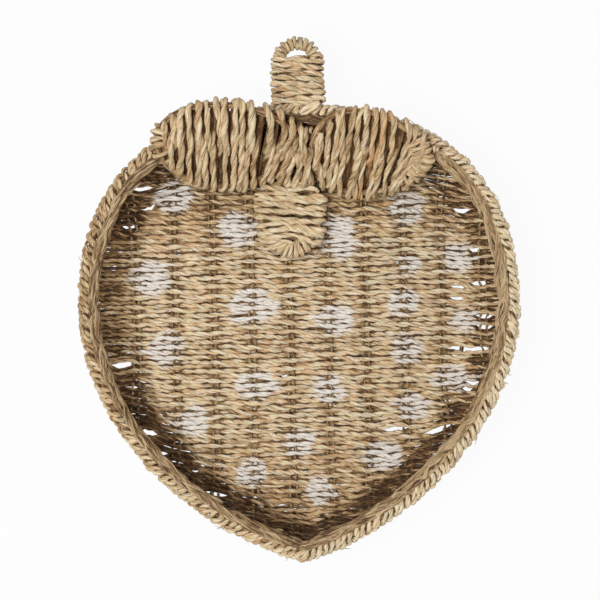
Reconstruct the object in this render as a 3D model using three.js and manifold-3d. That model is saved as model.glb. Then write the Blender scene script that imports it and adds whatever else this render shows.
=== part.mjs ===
// Strawberry-shaped tray of twisted seagrass cord woven over a bent wire frame.
// Millimetres, +Z up, the stem toward +Y, resting on its base at z = 0.
import * as THREE from 'three';
import { mergeVertices } from 'three/addons/utils/BufferGeometryUtils.js';
import Module from 'manifold-3d';

const wasm = await Module();
wasm.setup();

// Rim hoop, on the centre line of its wire
const HOOP_HALF_WIDTH = 154.8;
const HOOP_TOP_Y = 136.5;
const HOOP_TIP_Y = -184.2;
const HOOP_Z = 44;
const WIDEST_Y = -3;
const SHOULDER_REACH = 95;
const SHOULDER_RISE = 94;
const BELLY_DROP = 80;
const TIP_REACH = 87;
const TIP_SLOPE = 18;
const TIP_RADIUS = 16;

// Base hoop, which is smaller than the rim hoop by the flare of the wall
const FLARE_SIDE = 27.3;
const FLARE_TOP = 17.5;
const FLARE_TIP = 17.2;

// Wire and cord sizes
const HOOP_WIRE = 4;
const BASE_WIRE = 3;
const UPRIGHT_WIRE = 2.8;
const TRIM_WIRE = 3;
const CORD = 3.2;
const LEAF_CORD = 3.9;
const EYE_CORD = 2.6;
const WARP_CORD = 2.4;
const EDGE_CORD = 4.4;
const EDGE_DROP = 15;
const EDGE_RISE = 16;

// Weave: how far it reaches outside and inside the wire frame
const BED_OUT = 3;
const BED_IN = 5.6;
const INNER_CORNER = 5;
const WARP_PITCH = 28.9;
const WARP_PAIR = 4.2;
const WARP_SHIFT = 7;
const WARP_MARGIN = 8;

// Rim winding
const RIM_RADIUS = 5.8;
const RIM_GROOVE = 1.2;
const RIM_TURNS = 90;
const RIM_SIDES = 6;
const RIM_SPLIT = 2.4;

// Leaves, as seen from above; each is draped over the rim and slopes down to the bed
const LEFT_LEAF = { half: 50, width: 26.2, x: -49, y: 113.2, turn: -0.5, taper: -0.16, loops: 18 };
const RIGHT_LEAF = { half: 41.5, width: 26.2, x: 53, y: 104.6, turn: -10, taper: -0.22, loops: 14 };
const TIP_BARE = 5;
const HIP_EDGE = 0.5;
const LEAF_SEAT = 1.3;

// Sepal on the bed and stem with its hanging eye
const SEPAL = { half: 26.5, width: 22, x: -5.5, y: 62, taper: -0.15, loops: 9 };
const SEPAL_TILT = 1;
const STEM_X = 2.6;
const STEM_HALF_WIDTH = 19;
const STEM_END_Y = 190;
const STEM_LOOPS = 8;
const EYE_LOOPS = 7;
const EYE_START = 26;
const EYE_HEIGHT = 5.4;

// Clearances
const SEAT_GAP = 0.3;
const WIRE_GAP = 0.3;
const TRIM_GAP = 1;
const WARP_GAP = 0.6;
const WARP_SUNK = 0.1;
const UPRIGHT_COUNT = 6;
const RING_POINTS = 72;

const straw = (colour) => new THREE.MeshStandardMaterial({ color: colour, roughness: 0.85, metalness: 0 });
const steel = new THREE.MeshStandardMaterial({ color: 0x8c8f92, roughness: 0.45, metalness: 1 });
const MATERIALS = {
  weft: straw(0xb6935f),
  warp: straw(0xa07a4a),
  winding: straw(0xcdaa78),
  edge: straw(0x9c7a4c),
};
for (const [name, material] of Object.entries(MATERIALS)) material.name = `seagrass_${name}`;
steel.name = 'steel_wire';

const radians = THREE.MathUtils.degToRad;
const vec = (x, y, z) => new THREE.Vector3(x, y, z);
const root = new THREE.Group();
root.name = 'seagrass_tray';

function addNode(name, geometry, material, parent = root) {
  const mesh = new THREE.Mesh(geometry, material);
  mesh.name = name;
  parent.add(mesh);
  return mesh;
}

// Closed solid through rings of points; an open run gets flat caps
function loft(rings, closed) {
  const sides = rings[0].length;
  const points = rings.flat();
  const faces = [];
  const last = closed ? rings.length : rings.length - 1;
  for (let i = 0; i < last; i += 1) {
    const a = i * sides;
    const b = ((i + 1) % rings.length) * sides;
    for (let j = 0; j < sides; j += 1) {
      const k = (j + 1) % sides;
      faces.push(a + j, a + k, b + k, a + j, b + k, b + j);
    }
  }
  if (!closed) {
    capFaces(rings[0], 0, faces, true);
    capFaces(rings[rings.length - 1], (rings.length - 1) * sides, faces, false);
  }
  return meshFrom(points, faces);
}

function capFaces(ring, offset, faces, first) {
  if (ring.length <= 8) {
    for (let j = 1; j + 1 < ring.length; j += 1) {
      if (first) faces.push(offset, offset + j + 1, offset + j);
      else faces.push(offset, offset + j, offset + j + 1);
    }
    return;
  }
  const flat = ring.map((p) => new THREE.Vector2(p.x, p.y));
  const clockwise = THREE.ShapeUtils.isClockWise(flat);
  for (const [a, b, c] of THREE.ShapeUtils.triangulateShape(flat, [])) {
    const keep = first === clockwise;
    if (keep) faces.push(offset + a, offset + b, offset + c);
    else faces.push(offset + a, offset + c, offset + b);
  }
}

// Faces are turned outward by the sign of the enclosed volume
function meshFrom(points, faces) {
  let volume = 0;
  const cross = vec(0, 0, 0);
  for (let i = 0; i < faces.length; i += 3) {
    cross.crossVectors(points[faces[i + 1]], points[faces[i + 2]]);
    volume += points[faces[i]].dot(cross);
  }
  if (volume < 0) {
    for (let i = 0; i < faces.length; i += 3) {
      const swap = faces[i + 1];
      faces[i + 1] = faces[i + 2];
      faces[i + 2] = swap;
    }
  }
  const geometry = new THREE.BufferGeometry();
  geometry.setAttribute('position', new THREE.Float32BufferAttribute(points.flatMap((p) => [p.x, p.y, p.z]), 3));
  geometry.setIndex(faces);
  return geometry;
}

function tangentsOf(path, closed) {
  const n = path.length;
  return path.map((p, i) => {
    const before = closed ? path[(i + n - 1) % n] : path[Math.max(i - 1, 0)];
    const after = closed ? path[(i + 1) % n] : path[Math.min(i + 1, n - 1)];
    const into = vec(0, 0, 0).subVectors(p, before).normalize();
    const out = vec(0, 0, 0).subVectors(after, p).normalize();
    return into.add(out).normalize();
  });
}

// Round tube along a run of points, its section carried without twist
function tube(path, radius, sides, closed) {
  const tangents = tangentsOf(path, closed);
  const start = Math.abs(tangents[0].z) > 0.9 ? vec(1, 0, 0) : vec(0, 0, 1);
  let normal = start.clone().addScaledVector(tangents[0], -start.dot(tangents[0])).normalize();
  const rings = path.map((p, i) => {
    normal = normal.clone().addScaledVector(tangents[i], -normal.dot(tangents[i])).normalize();
    const side = vec(0, 0, 0).crossVectors(tangents[i], normal);
    return Array.from({ length: sides }, (_, j) => {
      const angle = (2 * Math.PI * j) / sides;
      return p.clone()
        .addScaledVector(normal, radius * Math.cos(angle))
        .addScaledVector(side, radius * Math.sin(angle));
    });
  });
  return loft(rings, closed);
}

// Cutters go round a circle, so that their flats keep the clearance
const roundTo = (radius, sides) => radius / Math.cos(Math.PI / sides);

function rod(from, to, radius, sides) {
  return tube([from, to], radius, sides, false);
}

// Adding and cutting of solids
function toSolid(geometry) {
  const bare = geometry.clone();
  bare.deleteAttribute('normal');
  bare.deleteAttribute('uv');
  const merged = mergeVertices(bare, 1e-5);
  return new wasm.Manifold(new wasm.Mesh({
    numProp: 3,
    vertProperties: Float32Array.from(merged.attributes.position.array),
    triVerts: Uint32Array.from(merged.index.array),
  }));
}

function toGeometry(solid) {
  const mesh = solid.getMesh();
  const geometry = new THREE.BufferGeometry();
  geometry.setAttribute('position', new THREE.Float32BufferAttribute(mesh.vertProperties, 3));
  geometry.setIndex(Array.from(mesh.triVerts));
  return geometry;
}

function cut(geometry, cutters) {
  const tools = wasm.Manifold.union(cutters.map(toSolid));
  return toGeometry(toSolid(geometry).subtract(tools));
}

// Strawberry outline: broad shoulders, full sides, a rounded point
function outline(halfWidth, topY, tipY) {
  const across = halfWidth / HOOP_HALF_WIDTH;
  const above = (topY - WIDEST_Y) / (HOOP_TOP_Y - WIDEST_Y);
  const below = (WIDEST_Y - tipY) / (WIDEST_Y - HOOP_TIP_Y);
  const slope = radians(TIP_SLOPE);
  const tipX = TIP_RADIUS * Math.sin(slope);
  const tipTop = tipY + TIP_RADIUS * (1 - Math.cos(slope));
  const reachX = tipX + TIP_REACH * across * Math.cos(slope);
  const reachY = tipTop + TIP_REACH * across * Math.sin(slope);
  const shoulderY = WIDEST_Y + SHOULDER_RISE * above;
  const bellyY = WIDEST_Y - BELLY_DROP * below;
  const reach = SHOULDER_REACH * across;
  const path = new THREE.Path();
  path.moveTo(0, topY);
  path.bezierCurveTo(reach, topY, halfWidth, shoulderY, halfWidth, WIDEST_Y);
  path.bezierCurveTo(halfWidth, bellyY, reachX, reachY, tipX, tipTop);
  path.absarc(0, tipY + TIP_RADIUS, TIP_RADIUS, slope - Math.PI / 2, -slope - Math.PI / 2, true);
  path.bezierCurveTo(-reachX, reachY, -halfWidth, bellyY, -halfWidth, WIDEST_Y);
  path.bezierCurveTo(-halfWidth, shoulderY, -reach, topY, 0, topY);
  return path.getSpacedPoints(RING_POINTS).slice(0, RING_POINTS);
}

const baseZ = BED_OUT;
const rimLine = outline(HOOP_HALF_WIDTH, HOOP_TOP_Y, HOOP_TIP_Y);
const baseLine = outline(HOOP_HALF_WIDTH - FLARE_SIDE, HOOP_TOP_Y - FLARE_TOP, HOOP_TIP_Y + FLARE_TIP);

// Outward direction in plan of a ring that runs clockwise seen from above
function outwardOf(line) {
  return line.map((p, i) => {
    const before = line[(i + line.length - 1) % line.length];
    const after = line[(i + 1) % line.length];
    return new THREE.Vector2(before.y - after.y, after.x - before.x).normalize();
  });
}
const rimOut = outwardOf(rimLine);

const rise = (z) => (z - baseZ) / (HOOP_Z - baseZ);

// Ring of the wall at a height, moved outward in plan by a shift
function wallRing(z, shift) {
  const share = rise(z);
  return rimLine.map((p, i) => {
    const x = THREE.MathUtils.lerp(baseLine[i].x, p.x, share) + rimOut[i].x * shift;
    const y = THREE.MathUtils.lerp(baseLine[i].y, p.y, share) + rimOut[i].y * shift;
    return vec(x, y, z);
  });
}

function leanAt(i) {
  const out = rimOut[i];
  const spread = (rimLine[i].x - baseLine[i].x) * out.x + (rimLine[i].y - baseLine[i].y) * out.y;
  return Math.atan2(spread, HOOP_Z - baseZ);
}

// Rim hoop, base hoop and uprights
const hoopPath = wallRing(HOOP_Z, 0);
addNode('rim_hoop', tube(hoopPath, HOOP_WIRE / 2, 5, true), steel);
const basePath = wallRing(baseZ, 0);
addNode('base_hoop', tube(basePath, BASE_WIRE / 2, 5, true), steel);

const uprights = Array.from({ length: UPRIGHT_COUNT }, (_, k) => {
  const index = Math.round(((k + 0.5) * RING_POINTS) / UPRIGHT_COUNT);
  const along = vec(0, 0, 0).subVectors(hoopPath[index], basePath[index]).normalize();
  const foot = basePath[index].clone().addScaledVector(along, (BASE_WIRE + UPRIGHT_WIRE) / 2 + SEAT_GAP);
  const head = hoopPath[index].clone().addScaledVector(along, -(HOOP_WIRE + UPRIGHT_WIRE) / 2 - SEAT_GAP);
  addNode(`upright_${k + 1}`, rod(foot, head, UPRIGHT_WIRE / 2, 8), steel);
  return rod(basePath[index], hoopPath[index], roundTo(UPRIGHT_WIRE / 2 + WIRE_GAP, 8), 8);
});

// Woven bed: a dished shell with a flat base, cut for the wire and for the warp pairs
const floorZ = baseZ + BED_IN;
const bedTop = HOOP_Z - RIM_RADIUS - SEAT_GAP;
const cornerZ = floorZ + INNER_CORNER;
const bedRings = [
  wallRing(floorZ, -BED_IN - INNER_CORNER),
  wallRing(cornerZ, -BED_IN),
  wallRing(bedTop, -BED_IN),
  wallRing(bedTop, BED_OUT),
  wallRing(baseZ + BED_OUT * 0.4, BED_OUT),
  wallRing(baseZ, BED_OUT * 0.6).map((p) => p.setZ(BED_OUT * 0.3)),
  wallRing(baseZ, -BED_OUT).map((p) => p.setZ(0)),
];

// Where a ring crosses a column of the weave: the upper and the lower point
function crossings(ring, x) {
  const found = [];
  for (let i = 0; i < ring.length; i += 1) {
    const a = ring[i];
    const b = ring[(i + 1) % ring.length];
    if ((a.x - x) * (b.x - x) < 0) {
      const t = (x - a.x) / (b.x - a.x);
      const out = rimOut[i].clone().lerp(rimOut[(i + 1) % ring.length], t).normalize();
      found.push({ point: a.clone().lerp(b, t), out, lean: leanAt(i) });
    }
  }
  found.sort((a, b) => b.point.y - a.point.y);
  return found.length === 2 ? found : null;
}

// Points on the bed's inner face along one column, each with the face's normal
function columnRun(x) {
  const upper = [];
  const lower = [];
  const reachOf = (z, shift) => Math.max(...wallRing(z, shift).map((p) => Math.abs(p.x)));
  const floorReach = reachOf(floorZ, -BED_IN - INNER_CORNER);
  const onFloor = floorReach - Math.abs(x) > WARP_CORD;
  const low = reachOf(cornerZ, -BED_IN);
  const high = reachOf(bedTop, -BED_IN);
  const lowest = Math.max(0, (Math.abs(x) - low + WARP_SUNK) / (high - low));
  const steps = 4;
  for (let k = 0; k <= steps; k += 1) {
    const share = 1 - (1 - lowest) * (1 - (1 - k / steps) ** 2);
    const z = THREE.MathUtils.lerp(cornerZ, bedTop - SEAT_GAP, share);
    const pair = crossings(wallRing(z, -BED_IN), x);
    const turning = k === steps && !onFloor;
    if (!pair || turning) continue;
    const soft = k === steps && onFloor ? 0.5 : 0;
    upper.push(faceAt(pair[0], soft));
    lower.unshift(faceAt(pair[1], soft));
  }
  if (onFloor) {
    const pair = crossings(wallRing(floorZ, -BED_IN - INNER_CORNER), x);
    upper.push(faceAt(pair[0], 0.75));
    lower.unshift(faceAt(pair[1], 0.75));
  }
  return [...upper, ...lower];
}

// The normal leans from the wall's (0) to straight up (1)
function faceAt(crossing, soft) {
  const { point, out, lean } = crossing;
  const wall = vec(-out.x * Math.cos(lean), -out.y * Math.cos(lean), Math.sin(lean));
  return { point, normal: wall.lerp(vec(0, 0, 1), soft).normalize() };
}

function warpPaths(run) {
  const centres = run.map((f) => f.point);
  const tangents = tangentsOf(centres, false);
  return run.map((f, i) => {
    const side = vec(0, 0, 0).crossVectors(tangents[i], f.normal).normalize();
    return { point: f.point, normal: f.normal, side };
  });
}

// One warp is a hairpin: down one leg, round the end, back along the other
function warpTube(frames) {
  const depth = WARP_CORD / 2 + WARP_SUNK;
  const sunk = (f, across) => f.point.clone().addScaledVector(f.normal, -depth).addScaledVector(f.side, across);
  const half = WARP_PAIR / 2;
  const out = frames.map((f) => sunk(f, half));
  const back = frames.map((f) => sunk(f, -half)).reverse();
  return tube([...out, ...back], WARP_CORD / 2, 5, false);
}

function warpSlot(frames) {
  const wide = (WARP_PAIR + WARP_CORD) / 2 + WARP_GAP;
  const deep = WARP_CORD + WARP_SUNK + WARP_GAP;
  const high = 2;
  const ends = [frames[0], frames[frames.length - 1]];
  const beyond = ends.map((f, i) => {
    const next = frames[i === 0 ? 1 : frames.length - 2];
    const away = vec(0, 0, 0).subVectors(f.point, next.point).normalize();
    return { ...f, point: f.point.clone().addScaledVector(away, WARP_CORD * 2) };
  });
  const rings = [beyond[0], ...frames, beyond[1]].map((f) => [[wide, -deep], [wide, high], [-wide, high], [-wide, -deep]]
    .map(([across, up]) => f.point.clone().addScaledVector(f.side, across).addScaledVector(f.normal, up)));
  return loft(rings, false);
}

const innerReach = Math.max(...wallRing(bedTop, -BED_IN).map((p) => p.x)) - WARP_MARGIN;
const warpCount = Math.floor((2 * innerReach) / WARP_PITCH) + 1;
const warpStart = (-(warpCount - 1) * WARP_PITCH) / 2 + WARP_SHIFT;
const slots = [];
for (let k = 0; k < warpCount; k += 1) {
  const frames = warpPaths(columnRun(warpStart + k * WARP_PITCH));
  addNode(`warp_${k + 1}`, warpTube(frames), MATERIALS.warp);
  slots.push(warpSlot(frames));
}
const channel = tube(basePath, roundTo(BASE_WIRE / 2 + WIRE_GAP, 6), 6, true);
addNode('weft_bed', cut(loft(bedRings, false), [channel, ...uprights, ...slots]), MATERIALS.weft);

// Two strands along the inner side of the rim: one against its winding, one on the bed's inner top edge
function ringBeside(z, shift, angle, reach) {
  const tilt = radians(angle);
  return wallRing(z, shift - reach * Math.cos(tilt)).map((p) => p.setZ(z + reach * Math.sin(tilt)));
}
const edgeReach = EDGE_CORD / 2 + SEAT_GAP;
const upperEdge = ringBeside(HOOP_Z, 0, -EDGE_DROP, RIM_RADIUS + edgeReach);
const lowerEdge = ringBeside(bedTop, -BED_IN, EDGE_RISE, edgeReach);
addNode('edge_strand_upper', tube(upperEdge, EDGE_CORD / 2, 5, true), MATERIALS.edge);
addNode('edge_strand_lower', tube(lowerEdge, EDGE_CORD / 2, 5, true), MATERIALS.edge);

// Rim winding: a sleeve over the hoop with one groove running round it from end to end
const hoopCurve = new THREE.CatmullRomCurve3(hoopPath, true);
hoopCurve.arcLengthDivisions = 600;
const hoopLength = hoopCurve.getLength();

function rimPoint(run, radius, angle) {
  const share = ((RIM_SPLIT / 2 + run) / hoopLength + 1) % 1;
  const centre = hoopCurve.getPointAt(share);
  const along = hoopCurve.getTangentAt(share);
  const out = vec(-along.y, along.x, 0).normalize();
  return centre.addScaledVector(out, radius * Math.cos(angle)).add(vec(0, 0, radius * Math.sin(angle)));
}

function rimSleeve() {
  const usable = hoopLength - RIM_SPLIT;
  const pitch = usable / (RIM_TURNS + 1);
  const steps = RIM_TURNS * RIM_SIDES;
  const angleOf = (k) => (2 * Math.PI * k) / RIM_SIDES + Math.PI / 6;
  const bore = roundTo(HOOP_WIRE / 2 + WIRE_GAP, RIM_SIDES);
  const points = [];
  const faces = [];
  const quad = (a, b, c, d) => faces.push(a, b, c, a, c, d);
  const groove = [];
  const crest = [];
  for (let k = 0; k <= steps + RIM_SIDES; k += 1) {
    groove.push(points.length);
    points.push(rimPoint((k * pitch) / RIM_SIDES, RIM_RADIUS - RIM_GROOVE, angleOf(k)));
  }
  for (let k = 0; k <= steps; k += 1) {
    crest.push(points.length);
    points.push(rimPoint((k * pitch) / RIM_SIDES + pitch / 2, RIM_RADIUS, angleOf(k)));
  }
  for (let k = 0; k < steps; k += 1) {
    quad(groove[k], groove[k + 1], crest[k + 1], crest[k]);
    quad(crest[k], crest[k + 1], groove[k + 1 + RIM_SIDES], groove[k + RIM_SIDES]);
  }
  const boreRings = [];
  for (let i = 0; i <= RING_POINTS; i += 1) {
    const run = (usable * i) / RING_POINTS;
    boreRings.push(Array.from({ length: RIM_SIDES }, (_, j) => {
      points.push(rimPoint(run, bore, angleOf(j)));
      return points.length - 1;
    }));
  }
  for (let i = 0; i < RING_POINTS; i += 1) {
    for (let j = 0; j < RIM_SIDES; j += 1) {
      const k = (j + 1) % RIM_SIDES;
      quad(boreRings[i][k], boreRings[i][j], boreRings[i + 1][j], boreRings[i + 1][k]);
    }
  }
  const first = boreRings[0];
  const final = boreRings[RING_POINTS];
  for (let j = 0; j < RIM_SIDES; j += 1) {
    const k = (j + 1) % RIM_SIDES;
    quad(groove[j + 1], groove[j], first[j], first[k]);
    quad(groove[steps + j], groove[steps + j + 1], final[k], final[j]);
  }
  faces.push(groove[RIM_SIDES], first[0], crest[0], crest[0], first[0], groove[0]);
  faces.push(groove[steps], final[0], crest[steps], crest[steps], final[0], groove[steps + RIM_SIDES]);
  return meshFrom(points, faces);
}

// Windings over a flat frame: one unbroken cord, eight steps to a loop
const loopReach = (wire, cord, gap) => (wire + cord) / 2 + gap;
const HEX_POINT = 1 / Math.cos(Math.PI / 6);
const HEX_SIDE = Math.tan(Math.PI / 6);

function flatWinding(start, end, loops, widthAt, slopeAt, clear) {
  const wire = TRIM_WIRE;
  const path = [];
  const steps = loops * 8;
  for (let k = 0; k <= steps; k += 1) {
    const x = THREE.MathUtils.lerp(start, end, k / steps);
    const slant = (wire / 2) * (Math.sqrt(1 + slopeAt(x) ** 2) - 1);
    const edge = widthAt(x) + slant + clear * HEX_POINT;
    const corner = widthAt(x) + slant + clear * HEX_SIDE;
    const spots = [[edge, 0], [corner, 1], [0, 1], [-corner, 1], [-edge, 0], [-corner, -1], [0, -1], [corner, -1]];
    const [across, up] = spots[k % 8];
    path.push(vec(x, across, up * clear));
  }
  return path;
}

// Least room between one turn of a winding and the others, measured on points
function leastGap(path, cord, stepsPerLoop) {
  const fine = [];
  for (let i = 0; i + 1 < path.length; i += 1) {
    for (let q = 0; q < 4; q += 1) fine.push(path[i].clone().lerp(path[i + 1], q / 4));
  }
  let least = Infinity;
  for (let i = 0; i < fine.length; i += 1) {
    for (let j = i + 2 * stepsPerLoop; j < Math.min(fine.length, i + 10 * stepsPerLoop); j += 1) {
      least = Math.min(least, fine[i].distanceTo(fine[j]) - cord);
    }
  }
  return least;
}

function reportGap(name, path, cord, stepsPerLoop) {
  console.log(`${name}: least gap between turns ${leastGap(path, cord, stepsPerLoop).toFixed(2)} mm`);
}

// Leaf outline: an oval, fuller toward one end
const leafWidth = (leaf) => (x) => leaf.width * Math.sqrt(Math.max(0, 1 - (x / leaf.half) ** 2)) * (1 + (leaf.taper * x) / leaf.half);

function leafSlope(leaf) {
  const width = leafWidth(leaf);
  return (x) => (width(x + 0.01) - width(x - 0.01)) / 0.02;
}

function ovalPoints(leaf, count) {
  return Array.from({ length: count }, (_, k) => {
    const angle = (2 * Math.PI * k) / count;
    const across = leaf.width * Math.sin(angle) * (1 + leaf.taper * Math.cos(angle));
    return new THREE.Vector2(leaf.half * Math.cos(angle), across);
  });
}

const trimReach = loopReach(TRIM_WIRE, LEAF_CORD, TRIM_GAP);
const trimHalfThick = trimReach + LEAF_CORD / 2;

// Signed distance in plan from the rim hoop, outside positive, and the way out
const hoopFine = hoopCurve.getSpacedPoints(4 * RING_POINTS);

function rimDistance(x, y) {
  let best = { gap: Infinity };
  for (let i = 0; i + 1 < hoopFine.length; i += 1) {
    const a = hoopFine[i];
    const run = vec(0, 0, 0).subVectors(hoopFine[i + 1], a);
    const t = THREE.MathUtils.clamp(((x - a.x) * run.x + (y - a.y) * run.y) / run.lengthSq(), 0, 1);
    const dx = x - a.x - run.x * t;
    const dy = y - a.y - run.y * t;
    const gap = Math.hypot(dx, dy);
    if (gap < best.gap) {
      const out = new THREE.Vector2(-run.y, run.x).normalize();
      best = { gap, out, far: Math.sign(dx * out.x + dy * out.y) * gap };
    }
  }
  return best;
}

// Mid surface of a leaf: level over the rim, then one slope down to the bed
const leafTop = HOOP_Z + RIM_RADIUS + LEAF_SEAT + trimHalfThick;
const leafLow = floorZ + SEAT_GAP + trimReach * HEX_POINT + LEAF_CORD / 2;

function leafSurface(leaf) {
  const turn = radians(leaf.turn);
  const world = (x, a) => new THREE.Vector2(x, a).rotateAround(new THREE.Vector2(0, 0), turn).add(new THREE.Vector2(leaf.x, leaf.y));
  const farOf = (x, a) => {
    const p = world(x, a);
    return rimDistance(p.x, p.y).far;
  };
  const lowest = Math.min(...ovalPoints(leaf, 24).map((p) => farOf(p.x, p.y)));
  let slope = radians(40);
  for (let k = 0; k < 8; k += 1) {
    const hip = -(leafTop - HOOP_Z) * Math.tan(slope / 2);
    slope = Math.atan2(leafTop - leafLow, hip - lowest);
  }
  const hip = -(leafTop - HOOP_Z) * Math.tan(slope / 2);
  const at = (x, a) => {
    const p = world(x, a);
    const { far, out } = rimDistance(p.x, p.y);
    const inside = far < hip;
    const tilt = inside ? slope : 0;
    const z = inside ? leafTop - (hip - far) * Math.tan(slope) : leafTop;
    const normal = vec(-out.x * Math.sin(tilt), -out.y * Math.sin(tilt), Math.cos(tilt));
    const across = new THREE.Vector2(-Math.sin(turn), Math.cos(turn));
    const along = vec(across.x, across.y, Math.tan(tilt) * across.dot(out)).normalize();
    return { point: vec(p.x, p.y, z), normal, along, out };
  };
  // The crossing of the hip at one place along the leaf
  const hipAcross = (x, width) => {
    let low = -width;
    let high = width;
    for (let k = 0; k < 20; k += 1) {
      const mid = (low + high) / 2;
      if (farOf(x, mid) < hip) low = mid;
      else high = mid;
    }
    return low;
  };
  return { at, hipAcross, slope };
}

// Leaf winding: ten steps to a loop, two of them on the hip
function leafWinding(leaf, surface) {
  const width = leafWidth(leaf);
  const slopeAt = leafSlope(leaf);
  const end = leaf.half - TIP_BARE;
  const steps = leaf.loops * 10;
  const path = [];
  for (let k = 0; k <= steps; k += 1) {
    const x = THREE.MathUtils.lerp(-end, end, k / steps);
    const w = width(x);
    const slant = (TRIM_WIRE / 2) * (Math.sqrt(1 + slopeAt(x) ** 2) - 1);
    const hip = surface.hipAcross(x, w);
    const crosses = hip > -w * 0.8 && hip < w - HIP_EDGE;
    const bend = crosses ? hip : w / 3;
    const low = (bend - w) / 2;
    const spot = k % 10;
    const face = spot < 5 ? 1 : -1;
    const place = [w, w, bend, low, -w, -w, -w, low, bend, w][spot];
    const on = surface.at(x, place);
    let lift = trimReach * face;
    let push = 0;
    if (spot === 0 || spot === 5) {
      lift = 0;
      push = Math.sign(place) * (trimReach * HEX_POINT + slant);
    } else if (spot === 1 || spot === 4 || spot === 6 || spot === 9) {
      push = Math.sign(place) * (trimReach * HEX_SIDE + slant);
    } else if (crosses && (spot === 2 || spot === 8)) {
      const half = surface.slope / 2;
      on.normal = vec(-on.out.x * Math.sin(half), -on.out.y * Math.sin(half), Math.cos(half));
      lift /= Math.cos(half);
    }
    path.push(on.point.addScaledVector(on.normal, lift).addScaledVector(on.along, push));
  }
  return path;
}

function addLeaf(side, leaf) {
  const surface = leafSurface(leaf);
  const wire = ovalPoints(leaf, 40).map((p) => surface.at(p.x, p.y).point);
  const path = leafWinding(leaf, surface);
  reportGap(`${side}_leaf_wrap`, path, LEAF_CORD, 10);
  addNode(`${side}_leaf_frame`, tube(wire, TRIM_WIRE / 2, 6, true), steel);
  addNode(`${side}_leaf_wrap`, tube(path, LEAF_CORD / 2, 5, false), MATERIALS.winding);
}
addLeaf('left', LEFT_LEAF);
addLeaf('right', RIGHT_LEAF);

// Sepal: its tip rests on the bed, its upper end is raised under the leaves
const sepalPlace = new THREE.Group();
const sepalTilt = radians(SEPAL_TILT);
const sepalRise = (SEPAL.half + TRIM_WIRE / 2) * Math.sin(sepalTilt) + trimHalfThick * Math.cos(sepalTilt);
sepalPlace.position.set(SEPAL.x, SEPAL.y, floorZ + SEAT_GAP + sepalRise);
sepalPlace.rotation.x = sepalTilt;
const sepalLong = new THREE.Group();
sepalLong.rotation.z = -Math.PI / 2;
sepalPlace.add(sepalLong);
root.add(sepalPlace);
const sepalEnd = SEPAL.half - TIP_BARE;
const sepalPath = flatWinding(-sepalEnd, sepalEnd, SEPAL.loops, leafWidth(SEPAL), leafSlope(SEPAL), trimReach);
reportGap('sepal_wrap', sepalPath, LEAF_CORD, 8);
const sepalWire = ovalPoints(SEPAL, 24).map((p) => vec(p.x, p.y, 0));
addNode('sepal_frame', tube(sepalWire, TRIM_WIRE / 2, 6, true), steel, sepalLong);
addNode('sepal_wrap', tube(sepalPath, LEAF_CORD / 2, 5, false), MATERIALS.winding, sepalLong);

// Stem: an arch of wire whose legs reach the rim hoop
const stemPlace = new THREE.Group();
stemPlace.position.set(STEM_X, 0, HOOP_Z);
root.add(stemPlace);
const stemReach = loopReach(TRIM_WIRE, CORD, WIRE_GAP);
const eyeClear = loopReach(TRIM_WIRE, EYE_CORD, WIRE_GAP);
const legX = STEM_HALF_WIDTH - stemReach * HEX_POINT - CORD / 2;
const archY = STEM_END_Y - legX - eyeClear - EYE_CORD / 2;
const legY = HOOP_TOP_Y + HOOP_WIRE / 2 + SEAT_GAP;
const archPath = [vec(-legX, legY, 0)];
for (let k = 0; k <= 14; k += 1) {
  const angle = Math.PI * (1 - k / 14);
  archPath.push(vec(legX * Math.cos(angle), archY + legX * Math.sin(angle), 0));
}
archPath.push(vec(legX, legY, 0));
addNode('stem_frame', tube(archPath, TRIM_WIRE / 2, 6, false), steel, stemPlace);

const legCut = (x) => {
  const from = vec(STEM_X + x, legY - SEAT_GAP, HOOP_Z);
  const to = vec(STEM_X + x, HOOP_TOP_Y + 2 * RIM_RADIUS, HOOP_Z);
  return rod(from, to, roundTo(TRIM_WIRE / 2 + WIRE_GAP, 8), 8);
};
addNode('rim_wrap', cut(rimSleeve(), [...uprights, legCut(-legX), legCut(legX)]), MATERIALS.winding);

const eyeTop = archY + legX - eyeClear - EYE_CORD / 2;
const stemFrom = HOOP_TOP_Y + RIM_RADIUS + SEAT_GAP + CORD / 2;
const stemTo = eyeTop - EYE_HEIGHT - CORD / 2;
const stemTurned = new THREE.Group();
stemTurned.rotation.z = Math.PI / 2;
stemPlace.add(stemTurned);
const stemPath = flatWinding(stemFrom, stemTo, STEM_LOOPS, () => legX, () => 0, stemReach);
reportGap('stem_wrap', stemPath, CORD, 8);
addNode('stem_wrap', tube(stemPath, CORD / 2, 5, false), MATERIALS.winding, stemTurned);

// Winding round the arch above the eye
const eyeReach = eyeClear / Math.cos(Math.PI / 8);
const eyePath = [];
for (let k = 0; k <= EYE_LOOPS * 8; k += 1) {
  const sweep = THREE.MathUtils.lerp(180 - EYE_START, EYE_START, k / (EYE_LOOPS * 8));
  const along = radians(sweep);
  const round = (2 * Math.PI * k) / 8;
  const radius = legX + eyeReach * Math.cos(round);
  eyePath.push(vec(radius * Math.cos(along), archY + radius * Math.sin(along), eyeReach * Math.sin(round)));
}
reportGap('eye_wrap', eyePath, EYE_CORD, 8);
addNode('eye_wrap', tube(eyePath, EYE_CORD / 2, 5, false), MATERIALS.winding, stemPlace);

export default root;
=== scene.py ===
# Strawberry-shaped tray of two-ply seagrass cord, dressed over its packed wire frame.
# Lengths are millimetres until a mesh is made; the frame itself is in metres.
import math

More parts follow.
